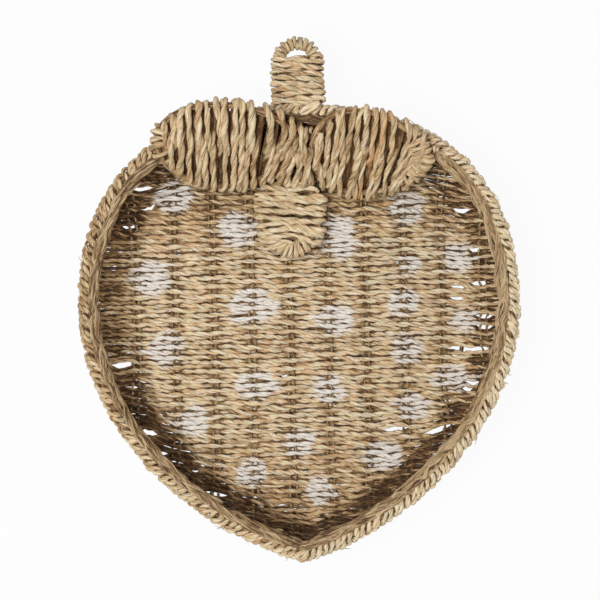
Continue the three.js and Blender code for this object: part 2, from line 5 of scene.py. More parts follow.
import bpy
import numpy as np
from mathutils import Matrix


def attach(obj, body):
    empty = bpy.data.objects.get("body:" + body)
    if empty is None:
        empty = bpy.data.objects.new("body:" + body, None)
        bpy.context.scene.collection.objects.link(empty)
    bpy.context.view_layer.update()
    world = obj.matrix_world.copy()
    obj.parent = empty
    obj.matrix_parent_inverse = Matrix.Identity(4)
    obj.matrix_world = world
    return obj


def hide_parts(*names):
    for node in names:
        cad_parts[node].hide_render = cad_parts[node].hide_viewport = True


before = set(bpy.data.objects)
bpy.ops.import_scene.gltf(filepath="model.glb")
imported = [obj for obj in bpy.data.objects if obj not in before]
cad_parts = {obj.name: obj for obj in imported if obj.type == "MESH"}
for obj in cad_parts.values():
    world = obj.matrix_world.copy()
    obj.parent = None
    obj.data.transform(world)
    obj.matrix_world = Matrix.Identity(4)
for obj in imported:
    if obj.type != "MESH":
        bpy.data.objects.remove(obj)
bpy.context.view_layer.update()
scene = bpy.context.scene
BODY = "root"
MM = 0.001
TURN = 2 * math.pi

# Frame of the tray, as in the part's source
HOOP_HALF_WIDTH = 154.8
HOOP_TOP_Y = 136.5
HOOP_TIP_Y = -184.2
HOOP_Z = 44.0
BASE_Z = 3.0
BASE_HALF_WIDTH = 127.5
BASE_TOP_Y = 119.0
BASE_TIP_Y = -167.0
WIDEST_Y = -3.0
RIM_RADIUS = 5.8
HOOP_WIRE = 4.0
BASE_WIRE = 3.0
UPRIGHT_WIRE = 2.8
TRIM_WIRE = 3.0
UPRIGHTS = 6

# Weave
ROW_PITCH = 3.55
SHEET_UP = 2.1
ROW_SWING = 1.9
WARP_SWING = 1.2
WARP_FIRST_X = -123.05
WARP_PITCH = 28.9
WARP_PAIR = 4.2
WARP_COUNT = 10
ROW_END_Z = 43.0
BED_CORNER = 6
GRID_STEP = 0.5

# Whitewashed dots: centre x and y, half width and half height
DOTS = [
    (-94, 79, 13, 11), (-45, 54, 16, 13), (-112, 18, 14, 13), (-36, -4, 16, 14), (-101, -35, 13, 13),
    (28, -16, 14, 11), (-35, -64, 14, 11), (-82, -90, 13, 11), (22, -68, 12, 11), (-2, -109, 12, 10),
    (-38, -130, 12, 10), (12, -145, 10, 10), (59, -120, 15, 10), (84, -83, 12, 10), (80, -39, 11, 11),
    (79, -4, 12, 10), (84, 25, 8, 8), (32, 46, 14, 16), (84, 67, 12, 12), (121, 29, 13, 10),
    (127, -18, 11, 8), (115, -62, 15, 9),
]
DOT_SPREAD = 1.13

# Places where two rows stand apart: x, y, half length, opening
SLITS = [
    (121, 62, 6, 2.3), (132, 34, 4, 2.2), (134, 9, 6, 2.3), (122, 6, 6, 2.1), (120, -1, 5, 2.0),
    (137, -16, 5, 2.3), (137, -23, 5, 2.2), (127, -39, 13, 2.6), (118, -43, 4, 2.0), (127, -66, 4, 2.2),
    (123, -70, 3, 2.1), (110, -78, 5, 2.1), (99, -101, 9, 2.4), (100, -115, 5, 2.4), (71, -100, 9, 2.2),
    (78, -127, 4, 2.2), (38, -157, 4, 2.4), (-112, 85, 7, 2.3), (-111, 71, 6, 2.0), (-124, 58, 6, 2.2),
    (-131, -46, 6, 2.4), (-124, -62, 5, 2.3), (-112, -95, 5, 2.4), (-103, -110, 4, 2.4),
    (-82, -126, 4, 2.3), (-63, -144, 7, 2.8), (-11, -170, 7, 2.8), (-12, -59, 4, 1.3),
]
# Slits further out than this lie on a side wall and open wider
SLIT_WALL_X = 110
SLIT_MORE = 0.5

rng = np.random.default_rng(11)


def ease(t):
    """A share from 0 to 1 that starts and ends gently."""
    return t * t * (3 - 2 * t)


def smooth(edge0, edge1, value):
    return ease(np.clip((value - edge0) / (edge1 - edge0), 0, 1))


def wander(length, reach, step, size):
    """Soft random drift along a run: one value per sample, alike over about reach."""
    count = max(4, int(length / reach) + 3)
    knots = rng.normal(0, size, count)
    at = np.linspace(0, count - 1, max(2, int(step)))
    low = np.clip(at.astype(int), 0, count - 2)
    share = ease(at - low)
    return knots[low] * (1 - share) + knots[low + 1] * share


def run_of(path):
    """Distance along a path to each of its points."""
    return np.concatenate([[0], np.cumsum(np.linalg.norm(np.diff(path, axis=0), axis=1))])


def unit(v):
    return v / np.maximum(np.linalg.norm(v, axis=-1), 1e-9)[..., None]


def bezier(points, t):
    """Points of a cubic curve at a column of shares."""
    p = np.array(points, float)
    return (1 - t) ** 3 * p[0] + 3 * (1 - t) ** 2 * t * p[1] + 3 * (1 - t) * t ** 2 * p[2] + t ** 3 * p[3]


# Outline of the tray: how far its curves are pulled, and the rounded point
SHOULDER_PULL = 95
SIDE_PULL_UP = 94
SIDE_PULL_DOWN = 80
TIP_PULL = 87
TIP_RADIUS = 16
TIP_SLOPE = math.radians(18)


def outline(half_width, top_y, tip_y, count):
    """Broad shoulders, full sides and a rounded point; clockwise from the top centre."""
    across = half_width / HOOP_HALF_WIDTH
    above = (top_y - WIDEST_Y) / (HOOP_TOP_Y - WIDEST_Y)
    below = (WIDEST_Y - tip_y) / (WIDEST_Y - HOOP_TIP_Y)
    tip_x = TIP_RADIUS * math.sin(TIP_SLOPE)
    tip_top = tip_y + TIP_RADIUS * (1 - math.cos(TIP_SLOPE))
    reach_x = tip_x + TIP_PULL * across * math.cos(TIP_SLOPE)
    reach_y = tip_top + TIP_PULL * across * math.sin(TIP_SLOPE)
    widest = (half_width, WIDEST_Y)
    over = (half_width, WIDEST_Y + SIDE_PULL_UP * above)
    under = (half_width, WIDEST_Y - SIDE_PULL_DOWN * below)
    t = np.linspace(0, 1, 400)[:, None]
    upper = bezier([(0, top_y), (SHOULDER_PULL * across, top_y), over, widest], t)
    lower = bezier([widest, under, (reach_x, reach_y), (tip_x, tip_top)], t)
    angle = np.linspace(TIP_SLOPE - math.pi / 2, -math.pi / 2, 40)
    arc = np.stack([TIP_RADIUS * np.cos(angle), tip_y + TIP_RADIUS + TIP_RADIUS * np.sin(angle)], 1)
    right = np.concatenate([upper, lower[1:], arc[1:]])
    full = np.concatenate([right, right[-2::-1] * [-1, 1]])
    far = run_of(full)
    want = np.linspace(0, far[-1], count, endpoint=False)
    return np.stack([np.interp(want, far, full[:, k]) for k in (0, 1)], 1)


RING = 720
rim_line = outline(HOOP_HALF_WIDTH, HOOP_TOP_Y, HOOP_TIP_Y, RING)
base_line = outline(BASE_HALF_WIDTH, BASE_TOP_Y, BASE_TIP_Y, RING)
ahead = np.roll(rim_line, -3, 0) - np.roll(rim_line, 3, 0)
rim_out = unit(np.stack([-ahead[:, 1], ahead[:, 0]], 1))
rim_length = np.linalg.norm(np.diff(rim_line, axis=0, append=rim_line[:1]), axis=1).sum()


def on_ring(table, share):
    """Rows of a ring's table at shares of the way round, in between its points."""
    at = np.mod(share, 1) * len(table)
    low = np.floor(at).astype(int) % len(table)
    part = (at - np.floor(at))[:, None]
    return table[low] * (1 - part) + table[(low + 1) % len(table)] * part


# Height of the middle of the woven sheet over a point in plan
MIDDLE = np.array([0.0, -15.0])
ANGLES = np.linspace(-math.pi, math.pi, 1441)


def polar(line, values=None):
    """Values of a line's points, or their distances from the middle, by angle."""
    d = line - MIDDLE
    angle = np.arctan2(d[:, 1], d[:, 0])
    order = np.argsort(angle)
    if values is None:
        values = np.linalg.norm(d, axis=1)
    return np.interp(ANGLES, angle[order], values[order], period=TURN)


rim_polar = polar(rim_line)
base_polar = polar(base_line)
d_rim = rim_line - MIDDLE
facing_polar = polar(rim_line, np.sum(d_rim * rim_out, 1) / np.linalg.norm(d_rim, axis=1))


def sheet_height(x, y):
    dx = x - MIDDLE[0]
    dy = y - MIDDLE[1]
    angle = np.arctan2(dy, dx)
    inner = np.interp(angle, ANGLES, base_polar)
    outer = np.interp(angle, ANGLES, rim_polar)
    square = np.interp(angle, ANGLES, facing_polar)
    depth = (outer - inner) * square
    lean = np.arctan2(depth, HOOP_Z - BASE_Z)
    share = (np.hypot(dx, dy) - inner) / (outer - inner)
    wall = BASE_Z + share * (HOOP_Z - BASE_Z) + SHEET_UP / np.sin(lean)
    floor = BASE_Z + SHEET_UP
    return 0.5 * (wall + floor + np.sqrt((wall - floor) ** 2 + BED_CORNER ** 2))


def sheet_normal(x, y):
    step = 0.5
    zx = (sheet_height(x + step, y) - sheet_height(x - step, y)) / (2 * step)
    zy = (sheet_height(x, y + step) - sheet_height(x, y - step)) / (2 * step)
    return unit(np.stack([-zx, -zy, np.ones_like(zx)], -1))


# Runs and frames
def resample(path, step):
    far = run_of(path)
    count = max(4, int(round(far[-1] / step)) + 1)
    want = np.linspace(0, far[-1], count)
    return np.stack([np.interp(want, far, path[:, k]) for k in range(3)], 1)


def frames(path, hint, closed=False):
    """Two directions square to the run, the first as near to the hint as it can be."""
    ahead = np.roll(path, -1, 0) - np.roll(path, 1, 0) if closed else np.gradient(path, axis=0)
    along = unit(ahead)
    first = unit(hint - np.sum(hint * along, 1)[:, None] * along)
    return first, np.cross(along, first)


def carried(path):
    """A direction carried along the run without twist, to be used as a hint."""
    along = unit(np.gradient(path, axis=0))
    now = np.array([0.0, 0, 1]) if abs(along[0][2]) < 0.9 else np.array([1.0, 0, 0])
    out = np.empty_like(path)
    for k, t in enumerate(along):
        now = now - now.dot(t) * t
        now = now / np.linalg.norm(now)
        out[k] = now
    return out


def upward(count):
    return np.tile([0.0, 0, 1], (count, 1))


def level_ring(line, z):
    return np.concatenate([line, np.full((len(line), 1), z)], 1)


def ring_points(first, second, angle, flat=1.0):
    """A circle for each point of a run, thinned along its first direction."""
    thin = first[:, None] * np.cos(angle)[None, :, None] * flat
    return thin + second[:, None] * np.sin(angle)[None, :, None]


def ring_faces(a, b):
    """Faces between rings of point numbers and the rings after them."""
    return np.stack([a, np.roll(a, -1, 1), np.roll(b, -1, 1), b], -1).reshape(-1, 4)


def add_mesh(name, points, faces, material, nodes):
    """A smooth mesh on the tray's body, standing for the named nodes."""
    mesh = bpy.data.meshes.new(name)
    mesh.from_pydata((points * MM).tolist(), [], faces)
    mesh.polygons.foreach_set("use_smooth", np.ones(len(faces), bool))
    mesh.materials.append(material)
    made = bpy.data.objects.new(name, mesh)
    scene.collection.objects.link(made)
    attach(made, BODY)
    if nodes:
        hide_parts(*nodes)
    return mesh


# A strand's drawn-in end, the reach of its random start in the grain, and the edge of its strip of the map
END_SIZE = 0.35
GRAIN_START = 900
STRIP_EDGE = 0.06


class Cords:
    """Gathers round strands into one mesh, with each strand's own coordinates."""

    def __init__(self):
        self.points = []
        self.faces = []
        self.fibre = []
        self.tone = []
        self.paint = []
        self.maps = []
        self.count = 0

    def strand(self, path, hint, radius, sides, tone, paint=None, taper=2, flat=1.0):
        """One strand with closed, drawn-in ends; flat thins it along the hint."""
        first, second = frames(path, hint)
        n = len(path)
        size = np.full(n, float(radius)) if np.isscalar(radius) else np.array(radius, float)
        drawn = END_SIZE + (1 - END_SIZE) * np.arange(taper) / taper
        size[:taper] *= drawn
        size[n - taper:] *= drawn[::-1]
        angle = TURN * np.arange(sides) / sides
        points = path[:, None] + ring_points(first, second, angle, flat) * size[:, None, None]
        run = run_of(path)
        fibre = np.empty((n, sides, 3))
        fibre[..., 0] = run[:, None] + rng.uniform(0, GRAIN_START)
        fibre[..., 1] = np.cos(angle)[None]
        fibre[..., 2] = np.sin(angle)[None]
        index = np.arange(n * sides).reshape(n, sides) + self.count
        caps = []
        for ends, flip in ((index[0], True), (index[-1], False)):
            for k in range(sides // 2 - 1):
                q = [ends[k], ends[k + 1], ends[sides - 2 - k], ends[sides - 1 - k]]
                caps.append(q[::-1] if flip else q)
        faces = np.concatenate([ring_faces(index[:-1], index[1:]), np.array(caps)])
        self.maps.append((run, sides, len(caps), float(size.max())))
        self.points.append(points.reshape(-1, 3))
        self.faces.append(faces)
        self.fibre.append(fibre.reshape(-1, 3))
        tones = np.full(n, float(tone)) if np.isscalar(tone) else tone
        self.tone.append(np.repeat(tones, sides))
        wash = np.zeros((n, sides)) if paint is None else paint(points)
        self.paint.append(wash.reshape(-1))
        self.count += n * sides

    def cord(self, path, hint, width, lay, sides, tone, paint=None, share=0.56, loose=0.08,
             mottle=(32, 0.11), plies=0.08):
        """Two plies laid round a run, each turned once in every lay; share is a ply's part of the width.

        Mottle is the length and strength of changes of tone along a ply, and plies how far the two differ.
        """
        run = run_of(path)
        first, second = frames(path, hint)
        ply = width * share / 2
        reach = width / 2 - ply
        start = rng.uniform(0, TURN)
        n = len(path)
        apart = rng.normal(0, plies)
        for k in range(2):
            turn = TURN * run / lay + start + math.pi * k
            turn = turn + wander(run[-1], lay * 1.5, n, 0.5)
            way = first * np.cos(turn)[:, None] + second * np.sin(turn)[:, None]
            size = ply * (1 + wander(run[-1], lay * 0.6, n, loose))
            line = path + way * (reach * (1 + wander(run[-1], lay, n, 0.15)))[:, None]
            patches = wander(run[-1], mottle[0], n, mottle[1])
            shade = np.clip(tone + apart * (1 - 2 * k) + patches, 0, 1)
            self.strand(line, way, size, sides, shade, paint)

    def piece(self, name, material, slot, *nodes):
        """One mesh of all that was gathered, standing for the named nodes."""
        faces = np.concatenate(self.faces).tolist()
        mesh = add_mesh(name, np.concatenate(self.points), faces, material, nodes)
        for label, values in (("fibre", self.fibre), ("tone", self.tone), ("paint", self.paint)):
            kind, key = ("FLOAT_VECTOR", "vector") if label == "fibre" else ("FLOAT", "value")
            store = mesh.attributes.new(label, kind, "POINT")
            store.data.foreach_set(key, np.concatenate(values).astype(np.float32).ravel())
        layer = mesh.uv_layers.new(name="OFBake", do_init=False)
        layer.uv.foreach_set("vector", self.strips().astype(np.float32).ravel())

    def strips(self):
        """Map of the strands, unrolled side by side into strips across the unit square."""
        total = sum(run[-1] for run, _, _, _ in self.maps)
        round_mm = TURN * np.mean([size for _, _, _, size in self.maps])
        step = max(np.diff(run).max() for run, _, _, _ in self.maps)
        wide = math.sqrt(total * round_mm * 1.2) + step
        rows = int(total / wide) + 2
        corners = []
        far = 0.0
        for run, sides, caps, _ in self.maps:
            start = far + run[:-1]
            row = np.floor(start / wide)
            u0 = (start - row * wide) / (wide + step)
            u1 = u0 + np.diff(run) / (wide + step)
            v = (row[:, None] + STRIP_EDGE + (1 - 2 * STRIP_EDGE) * np.arange(sides + 1) / sides) / rows
            v0 = v[:, :-1]
            v1 = v[:, 1:]
            u0 = np.repeat(u0[:, None], sides, 1)
            u1 = np.repeat(u1[:, None], sides, 1)
            around = ((u0, v0), (u0, v1), (u1, v1), (u1, v0))
            quad = np.stack([np.stack(corner, -1) for corner in around], 2)
            corners.append(quad.reshape(-1, 2))
            tiny = 0.2 / wide
            for k in range(caps):
                u, v = (u0[0, 0], v0[0, 0]) if k < caps // 2 else (u1[-1, 0] - tiny, v0[-1, 0])
                corners.append(np.array([(u, v), (u + tiny, v), (u + tiny, v + tiny), (u, v + tiny)]))
            far += run[-1]
        return np.concatenate(corners)


# Materials
def shades(*stops):
    """Stops of a ramp, given as a place and a screen colour from 0 to 255, with the colours as light."""
    made = []
    for at, *colour in stops:
        screen = [v / 255 for v in colour]
        light = [v / 12.92 if v <= 0.04045 else ((v + 0.055) / 1.055) ** 2.4 for v in screen]
        made.append((at, (*light, 1)))
    return made


class Graph:
    """Short hand for building the nodes of a material or a world."""

    def __init__(self, owner):
        self.owner = owner
        owner.use_nodes = True
        self.tree = owner.node_tree
        self.tree.nodes.clear()

    def node(self, kind, inputs=None, **settings):
        """A new node; each input is given by its name or number and is a value or another node's output."""
        made = self.tree.nodes.new(kind)
        for key, value in settings.items():
            setattr(made, key, value)
        for key, value in (inputs or {}).items():
            if isinstance(value, (int, float, tuple)):
                made.inputs[key].default_value = value
            else:
                self.tree.links.new(value, made.inputs[key])
        return made

    def attribute(self, name, output):
        return self.node("ShaderNodeAttribute", attribute_name=name).outputs[output]

    def math(self, operation, a, b, clamp=False):
        return self.node("ShaderNodeMath", {0: a, 1: b}, operation=operation, use_clamp=clamp).outputs[0]

    def noise(self, vector, stretch, detail=2.0, rough=0.5):
        """Cloudy pattern over a vector that is first stretched along its three parts."""
        scaled = self.node("ShaderNodeVectorMath", {0: vector, 1: stretch}, operation="MULTIPLY")
        inputs = {"Vector": scaled.outputs[0], "Scale": 1.0, "Detail": detail, "Roughness": rough}
        return self.node("ShaderNodeTexNoise", inputs).outputs["Fac"]

    def ramp(self, value, stops):
        made = self.node("ShaderNodeValToRGB", {0: value})
        band = made.color_ramp
        while len(band.elements) < len(stops):
            band.elements.new(0.5)
        for element, (at, colour) in zip(band.elements, stops):
            element.position = at
            element.color = colour
        return made.outputs[0]

    def span(self, value, low, high, to_low, to_high):
        inputs = {0: value, 1: low, 2: high, 3: to_low, 4: to_high}
        return self.node("ShaderNodeMapRange", inputs, clamp=True).outputs[0]

    def mix(self, share, a, b, blend="MIX"):
        """Two colours in one; a mix node keeps its colours behind its numbers and vectors."""
        inputs = {0: share, 6: a, 7: b}
        return self.node("ShaderNodeMix", inputs, data_type="RGBA", blend_type=blend).outputs[2]

    def blend(self, share, a, b):
        return self.node("ShaderNodeMixShader", {0: share, 1: a.outputs[0], 2: b.outputs[0]})

    def surface(self, shader, kind="Material"):
        """Ends the nodes in a shader and returns what they belong to."""
        self.node("ShaderNodeOutput" + kind, {"Surface": shader.outputs[0]})
        return self.owner

    def principled(self, inputs, height, strength, depth):
        """Ends the nodes in a shader with a bump from a height."""
        bump = self.node("ShaderNodeBump", {"Strength": strength, "Distance": depth, "Height": height})
        inputs["Normal"] = bump.outputs[0]
        return self.surface(self.node("ShaderNodeBsdfPrincipled", inputs))


# Grain of the grass: how fast it changes along a ply and, twice, round it
STREAK = (0.16, 1.7, 1.7)
FINE = (0.35, 5.0, 5.0)
SPLIT = (0.07, 2.1, 2.1)
SLOW = (0.022, 0.5, 0.5)
RIPE = (0.013, 0.4, 0.4)
BLACK = (0, 0, 0, 1)
WHITE = (1, 1, 1, 1)
CAST = [(0.34, (0.97, 0.97, 0.86, 1)), (0.5, WHITE), (0.68, (1, 0.92, 0.84, 1))]
GRASS_RELIEF = 0.0006
WIRE_RELIEF = 0.0002


def seagrass(name, stops, wash_stops):
    """Dry twisted grass: streaks along each ply, slow changes of colour, and a worn wash where painted."""
    g = Graph(bpy.data.materials.new(name))
    fibre = g.attribute("fibre", "Vector")
    tone = g.attribute("tone", "Fac")
    streak = g.noise(fibre, STREAK, 3.0, 0.6)
    fine = g.noise(fibre, FINE, 2.0, 0.6)
    split = g.noise(fibre, SPLIT, 2.0, 0.5)
    slow = g.noise(fibre, SLOW, 1.0)
    ripe = g.noise(fibre, RIPE, 1.0)
    pick = g.math("ADD", tone, g.span(slow, 0.3, 0.7, -0.15, 0.15))
    pick = g.math("ADD", pick, g.span(streak, 0.3, 0.7, -0.34, 0.34), True)
    colour = g.mix(1.0, g.ramp(pick, stops), g.ramp(ripe, CAST), "MULTIPLY")
    # Fine grooves along the grass are darkened: painted shade in them
    groove_shade = g.math("MULTIPLY", g.span(fine, 0.34, 0.54, 0.75, 1.0), g.span(split, 0.36, 0.46, 0.5, 1.0))
    colour = g.mix(1.0, colour, g.ramp(groove_shade, [(0, BLACK), (1, WHITE)]), "MULTIPLY")
    wash = g.attribute("paint", "Fac")
    worn = g.math("ADD", wash, g.span(streak, 0.3, 0.7, -0.6, 0.5))
    worn = g.math("MULTIPLY", g.span(worn, 0.18, 0.5, 0, 0.94), g.span(wash, 0, 0.2, 0, 1))
    colour = g.mix(worn, colour, g.ramp(fine, wash_stops))
    rough = g.span(fine, 0.3, 0.7, 0.86, 0.6)
    height = g.math("ADD", g.math("ADD", streak, split), g.math("MULTIPLY", fine, 0.6))
    inputs = {"Base Color": colour, "Roughness": rough, "Specular IOR Level": 0.3}
    return g.principled(inputs, height, 0.6, GRASS_RELIEF)


CHALK = shades((0.3, 212, 201, 190), (0.58, 254, 248, 240))
RUST = shades((0.3, 186, 128, 74), (0.6, 228, 176, 118))
FILM = shades((0, 104, 92, 78), (1, 96, 70, 48))
WEFT = seagrass("seagrass_weft", shades(
    (0.0, 80, 55, 34), (0.2, 158, 124, 87), (0.45, 210, 174, 130),
    (0.7, 236, 204, 160), (0.88, 247, 222, 184), (1.0, 253, 238, 210),
), CHALK)
WARP = seagrass("seagrass_warp", shades(
    (0.0, 120, 92, 62), (0.4, 176, 146, 106), (0.75, 212, 184, 144), (1.0, 228, 204, 164),
), CHALK)
WINDING = seagrass("seagrass_winding", shades(
    (0.0, 112, 78, 46), (0.25, 180, 146, 104), (0.5, 217, 187, 146),
    (0.8, 244, 220, 182), (1.0, 253, 237, 206),
), RUST)
EDGE = seagrass("seagrass_edge", shades(
    (0.0, 104, 78, 52), (0.35, 164, 133, 97), (0.65, 200, 170, 130), (1.0, 226, 200, 162),
), RUST)


def drawn_steel(name):
    """Drawn wire with a thin brown film of rust and faint marks along it."""
    g = Graph(bpy.data.materials.new(name))
    place = g.node("ShaderNodeTexCoord").outputs["Object"]
    cloud = g.noise(place, (60, 60, 60), 4.0, 0.6)
    grain = g.noise(place, (900, 900, 900), 2.0)
    rust = g.span(cloud, 0.42, 0.66, 0, 1)
    rough = g.span(grain, 0.3, 0.7, 0.4, 0.62)
    metal = g.span(rust, 0, 1, 0.85, 0.25)
    inputs = {"Base Color": g.ramp(rust, FILM), "Roughness": rough, "Metallic": metal}
    return g.principled(inputs, grain, 0.2, WIRE_RELIEF)


STEEL = drawn_steel("steel_wire")


# Whitewash lies on what faces up, inside the dots, with an edge of its own on every row
DOT_RAGGED = 0.18
WALL_UNWASHED = 0.42


def washed(row_seed):
    edge = np.random.default_rng(row_seed).normal(0, DOT_RAGGED, (len(DOTS), 2))

    def paint(points):
        x = points[..., 0]
        y = points[..., 1]
        sheet = sheet_height(x, y)
        high = points[..., 2] - sheet
        amount = np.zeros(x.shape)
        for (cx, cy, wide, tall), (left, right) in zip(DOTS, edge):
            dx = (x - cx) / (wide * DOT_SPREAD)
            dx = np.where(dx < 0, dx * (1 + left), dx * (1 + right))
            far = np.hypot(dx, (y - cy) / (tall * DOT_SPREAD))
            amount = np.maximum(amount, 1 - smooth(0.6, 1.2, far))
        return amount * smooth(-2.2, 0.2, high) * (1 - WALL_UNWASHED * smooth(8, 22, sheet))

    return paint


# Weft rows
grid_y = np.arange(-200.0, 156.0, GRID_STEP)
grid_x = np.arange(-166.0, 166.5, GRID_STEP)
lift = sheet_height(grid_x[:, None] + 0 * grid_y[None], grid_y[None] + 0 * grid_x[:, None])
rate = np.sqrt(1 + np.gradient(lift, GRID_STEP, axis=1) ** 2)
travel = np.cumsum(rate, axis=1) * GRID_STEP
travel -= travel[:, [int(np.argmin(np.abs(grid_y - WIDEST_Y)))]]


def in_table(table, u, v, soft):
    """A table's value in between its points; soft leaves no kinks."""
    i = np.clip(u.astype(int), 0, table.shape[0] - 2)
    j = np.clip(v.astype(int), 0, table.shape[1] - 2)
    p = ease(u - i) if soft else u - i
    q = ease(v - j) if soft else v - j
    low = table[i, j] * (1 - q) + table[i, j + 1] * q
    high = table[i + 1, j] * (1 - q) + table[i + 1, j + 1] * q
    return low * (1 - p) + high * p


def travel_at(x, y):
    """Distance walked along the sheet in +Y from the widest line to a point."""
    u = np.clip((x - grid_x[0]) / GRID_STEP, 0, len(grid_x) - 1.001)
    v = np.clip((y - grid_y[0]) / GRID_STEP, 0, len(grid_y) - 1.001)
    return in_table(travel, u, v, False)


slits = []
for sx, sy, half, opening in SLITS:
    mid = float(travel_at(np.array([sx], float), np.array([sy], float))[0])
    slits.append((sx, mid, half, opening + SLIT_MORE * (abs(sx) > SLIT_WALL_X)))

# Drift that neighbouring rows share, over the width of the tray and the reach of their levels
sway = np.random.default_rng(21).normal(0, 1, (16, 36))
LEVEL_REACH = 230
SLIT_SPREAD = 9
DRIFT_SEED = 1000
WASH_SEED = 200


def row_drift(x, level, seed):
    """How far a row strays from its even place: some of it with its neighbours, and apart at the slits."""
    at = (x - grid_x[0]) / (grid_x[-1] - grid_x[0]) * (sway.shape[0] - 1)
    up = (level + LEVEL_REACH) / (2 * LEVEL_REACH) * (sway.shape[1] - 1)
    own = in_table(np.random.default_rng(seed).normal(0, 1, (25, 2)), at * 1.6, 0 * at, True)
    shared = in_table(sway, at, np.full_like(at, up), True)
    drift = 0.5 * own + 0.5 * shared
    for sx, mid, half, opening in slits:
        gap = level - mid
        push = np.sign(gap) * opening / 2 * math.exp(-(gap / SLIT_SPREAD) ** 2)
        drift = drift + push * np.exp(-((x - sx) / half) ** 4)
    return drift


def slit_share(x, level):
    """1 in a slit between the row at a level and the next one, 0 away from it."""
    amount = np.zeros_like(x)
    for sx, mid, half, _ in slits:
        if level <= mid < level + ROW_PITCH:
            amount = np.maximum(amount, np.exp(-((x - sx) / half) ** 4))
    return amount


def row_wave(x, index):
    """Over (1) and under (-1) the warp pairs, turn about from row to row."""
    at = (x - WARP_FIRST_X) / WARP_PITCH
    inside = smooth(-0.9, -0.2, at) * (1 - smooth(WARP_COUNT - 0.8, WARP_COUNT - 0.1, at))
    sign = 1 if index % 2 == 0 else -1
    wave = np.cos(math.pi * at)
    wave = np.sign(wave) * np.abs(wave) ** 0.8
    return sign * wave * inside


def row_level(index):
    level = index * ROW_PITCH
    return level + row_drift(grid_x, level, DRIFT_SEED + index)


def sheet_runs(want, swing):
    """Runs of the sheet at a travelled distance, cut off under the rim, with swing along the normal."""
    y = np.array([np.interp(v, t, grid_y) for v, t in zip(want, travel)])
    z = sheet_height(grid_x, y)
    shown = (z < ROW_END_Z) & (want > travel[:, 0]) & (want < travel[:, -1])
    runs = np.flatnonzero(np.diff(np.concatenate([[0], shown.astype(int), [0]])))
    made = []
    for first, last in zip(runs[::2], runs[1::2]):
        if last - first < SHORTEST_RUN:
            continue
        path = resample(np.stack([grid_x, y, z], 1)[first:last], ROW_STEP)
        normal = sheet_normal(path[:, 0], path[:, 1])
        made.append((path + normal * swing(path)[:, None], normal))
    return made


def filler_swing(path):
    return -1.9 + 1.3 * smooth(10, 20, path[:, 2])


# Each row, and above it, between it and the next, a thin strand that closes the weave, coloured dark as
# painted shade
ROW_GROUPS = 5
ROW_LIMIT = 60
ROW_STEP = 1.7
SHORTEST_RUN = 16
ROW_CORD = 4.3
ROW_LAY = 19
ROW_TONE = 0.9
# Painted shade taken off the rows' tone: up the walls, where they dip under the warps, and under the leaves
WALL_SHADE = 0.32
UNDER_SHADE = 0.45
LEAF_SHADOW = 0.9
ROW_TWIST = dict(share=0.6, loose=0.16, mottle=(7, 0.1), plies=0.14)
FILLER_RADIUS = 1.25
FILLER_SHADE_TONE = 0.12
rows = []
for index in range(-ROW_LIMIT, ROW_LIMIT):
    level = row_level(index)
    above = row_level(index + 1)
    for path, normal in sheet_runs(level, lambda p, k=index: ROW_SWING * row_wave(p[:, 0], k)):
        rows.append((index, path, normal, True))
    closed = 1 - slit_share(grid_x, index * ROW_PITCH)
    for path, normal in sheet_runs(level + (above - level) / 2 * closed, filler_swing):
        rows.append((index, path, normal, False))
per_group = math.ceil(len(rows) / ROW_GROUPS)
for group in range(ROW_GROUPS):
    cords = Cords()
    for index, path, normal, proud in rows[group * per_group:(group + 1) * per_group]:
        wall = smooth(7, 22, path[:, 2])
        if not proud:
            # The strand between the rows is darker still up the walls: painted shade
            cords.strand(path, normal, FILLER_RADIUS, 5, FILLER_SHADE_TONE - FILLER_SHADE_TONE * wall)
            continue
        x = path[:, 0]
        y = path[:, 1]
        # Where a row dips under a warp pair it is narrower, and its tone is darker there as painted shade
        under = smooth(-0.7, -1, row_wave(x, index))
        # Rows at the top centre, under the leaves and the stem, are darkened: painted shadow
        hidden = np.exp(-(x / 24) ** 2) * smooth(96, 112, y)
        width = (ROW_CORD + rng.normal(0, 0.2)) * (1 - 0.15 * under) * (1 - 0.22 * wall)
        lay = ROW_LAY + rng.normal(0, 3)
        # Painted shade: darker on the left and lower walls, on the bed near the leaves and towards the tip
        far_shade = 0.24 * wall * smooth(0, -60, x) + 0.4 * wall * smooth(-40, -100, y)
        far_shade = far_shade + 0.3 * smooth(30, 70, y) + 0.28 * smooth(-85, -160, y)
        own = ROW_TONE + rng.normal(0, 0.07)
        # Rows up the walls are darkened by an amount that varies from row to row: painted shade
        wall_shade = (WALL_SHADE + rng.normal(0, 0.18)) * wall
        tone = own - wall_shade - UNDER_SHADE * under - LEAF_SHADOW * hidden - far_shade
        wash = washed(index + WASH_SEED)
        cords.cord(path, normal, width, lay, 6, tone, wash, **ROW_TWIST)
    cords.piece(f"weft_rows_{group + 1}", WEFT, "seagrass_weft", "weft_bed")

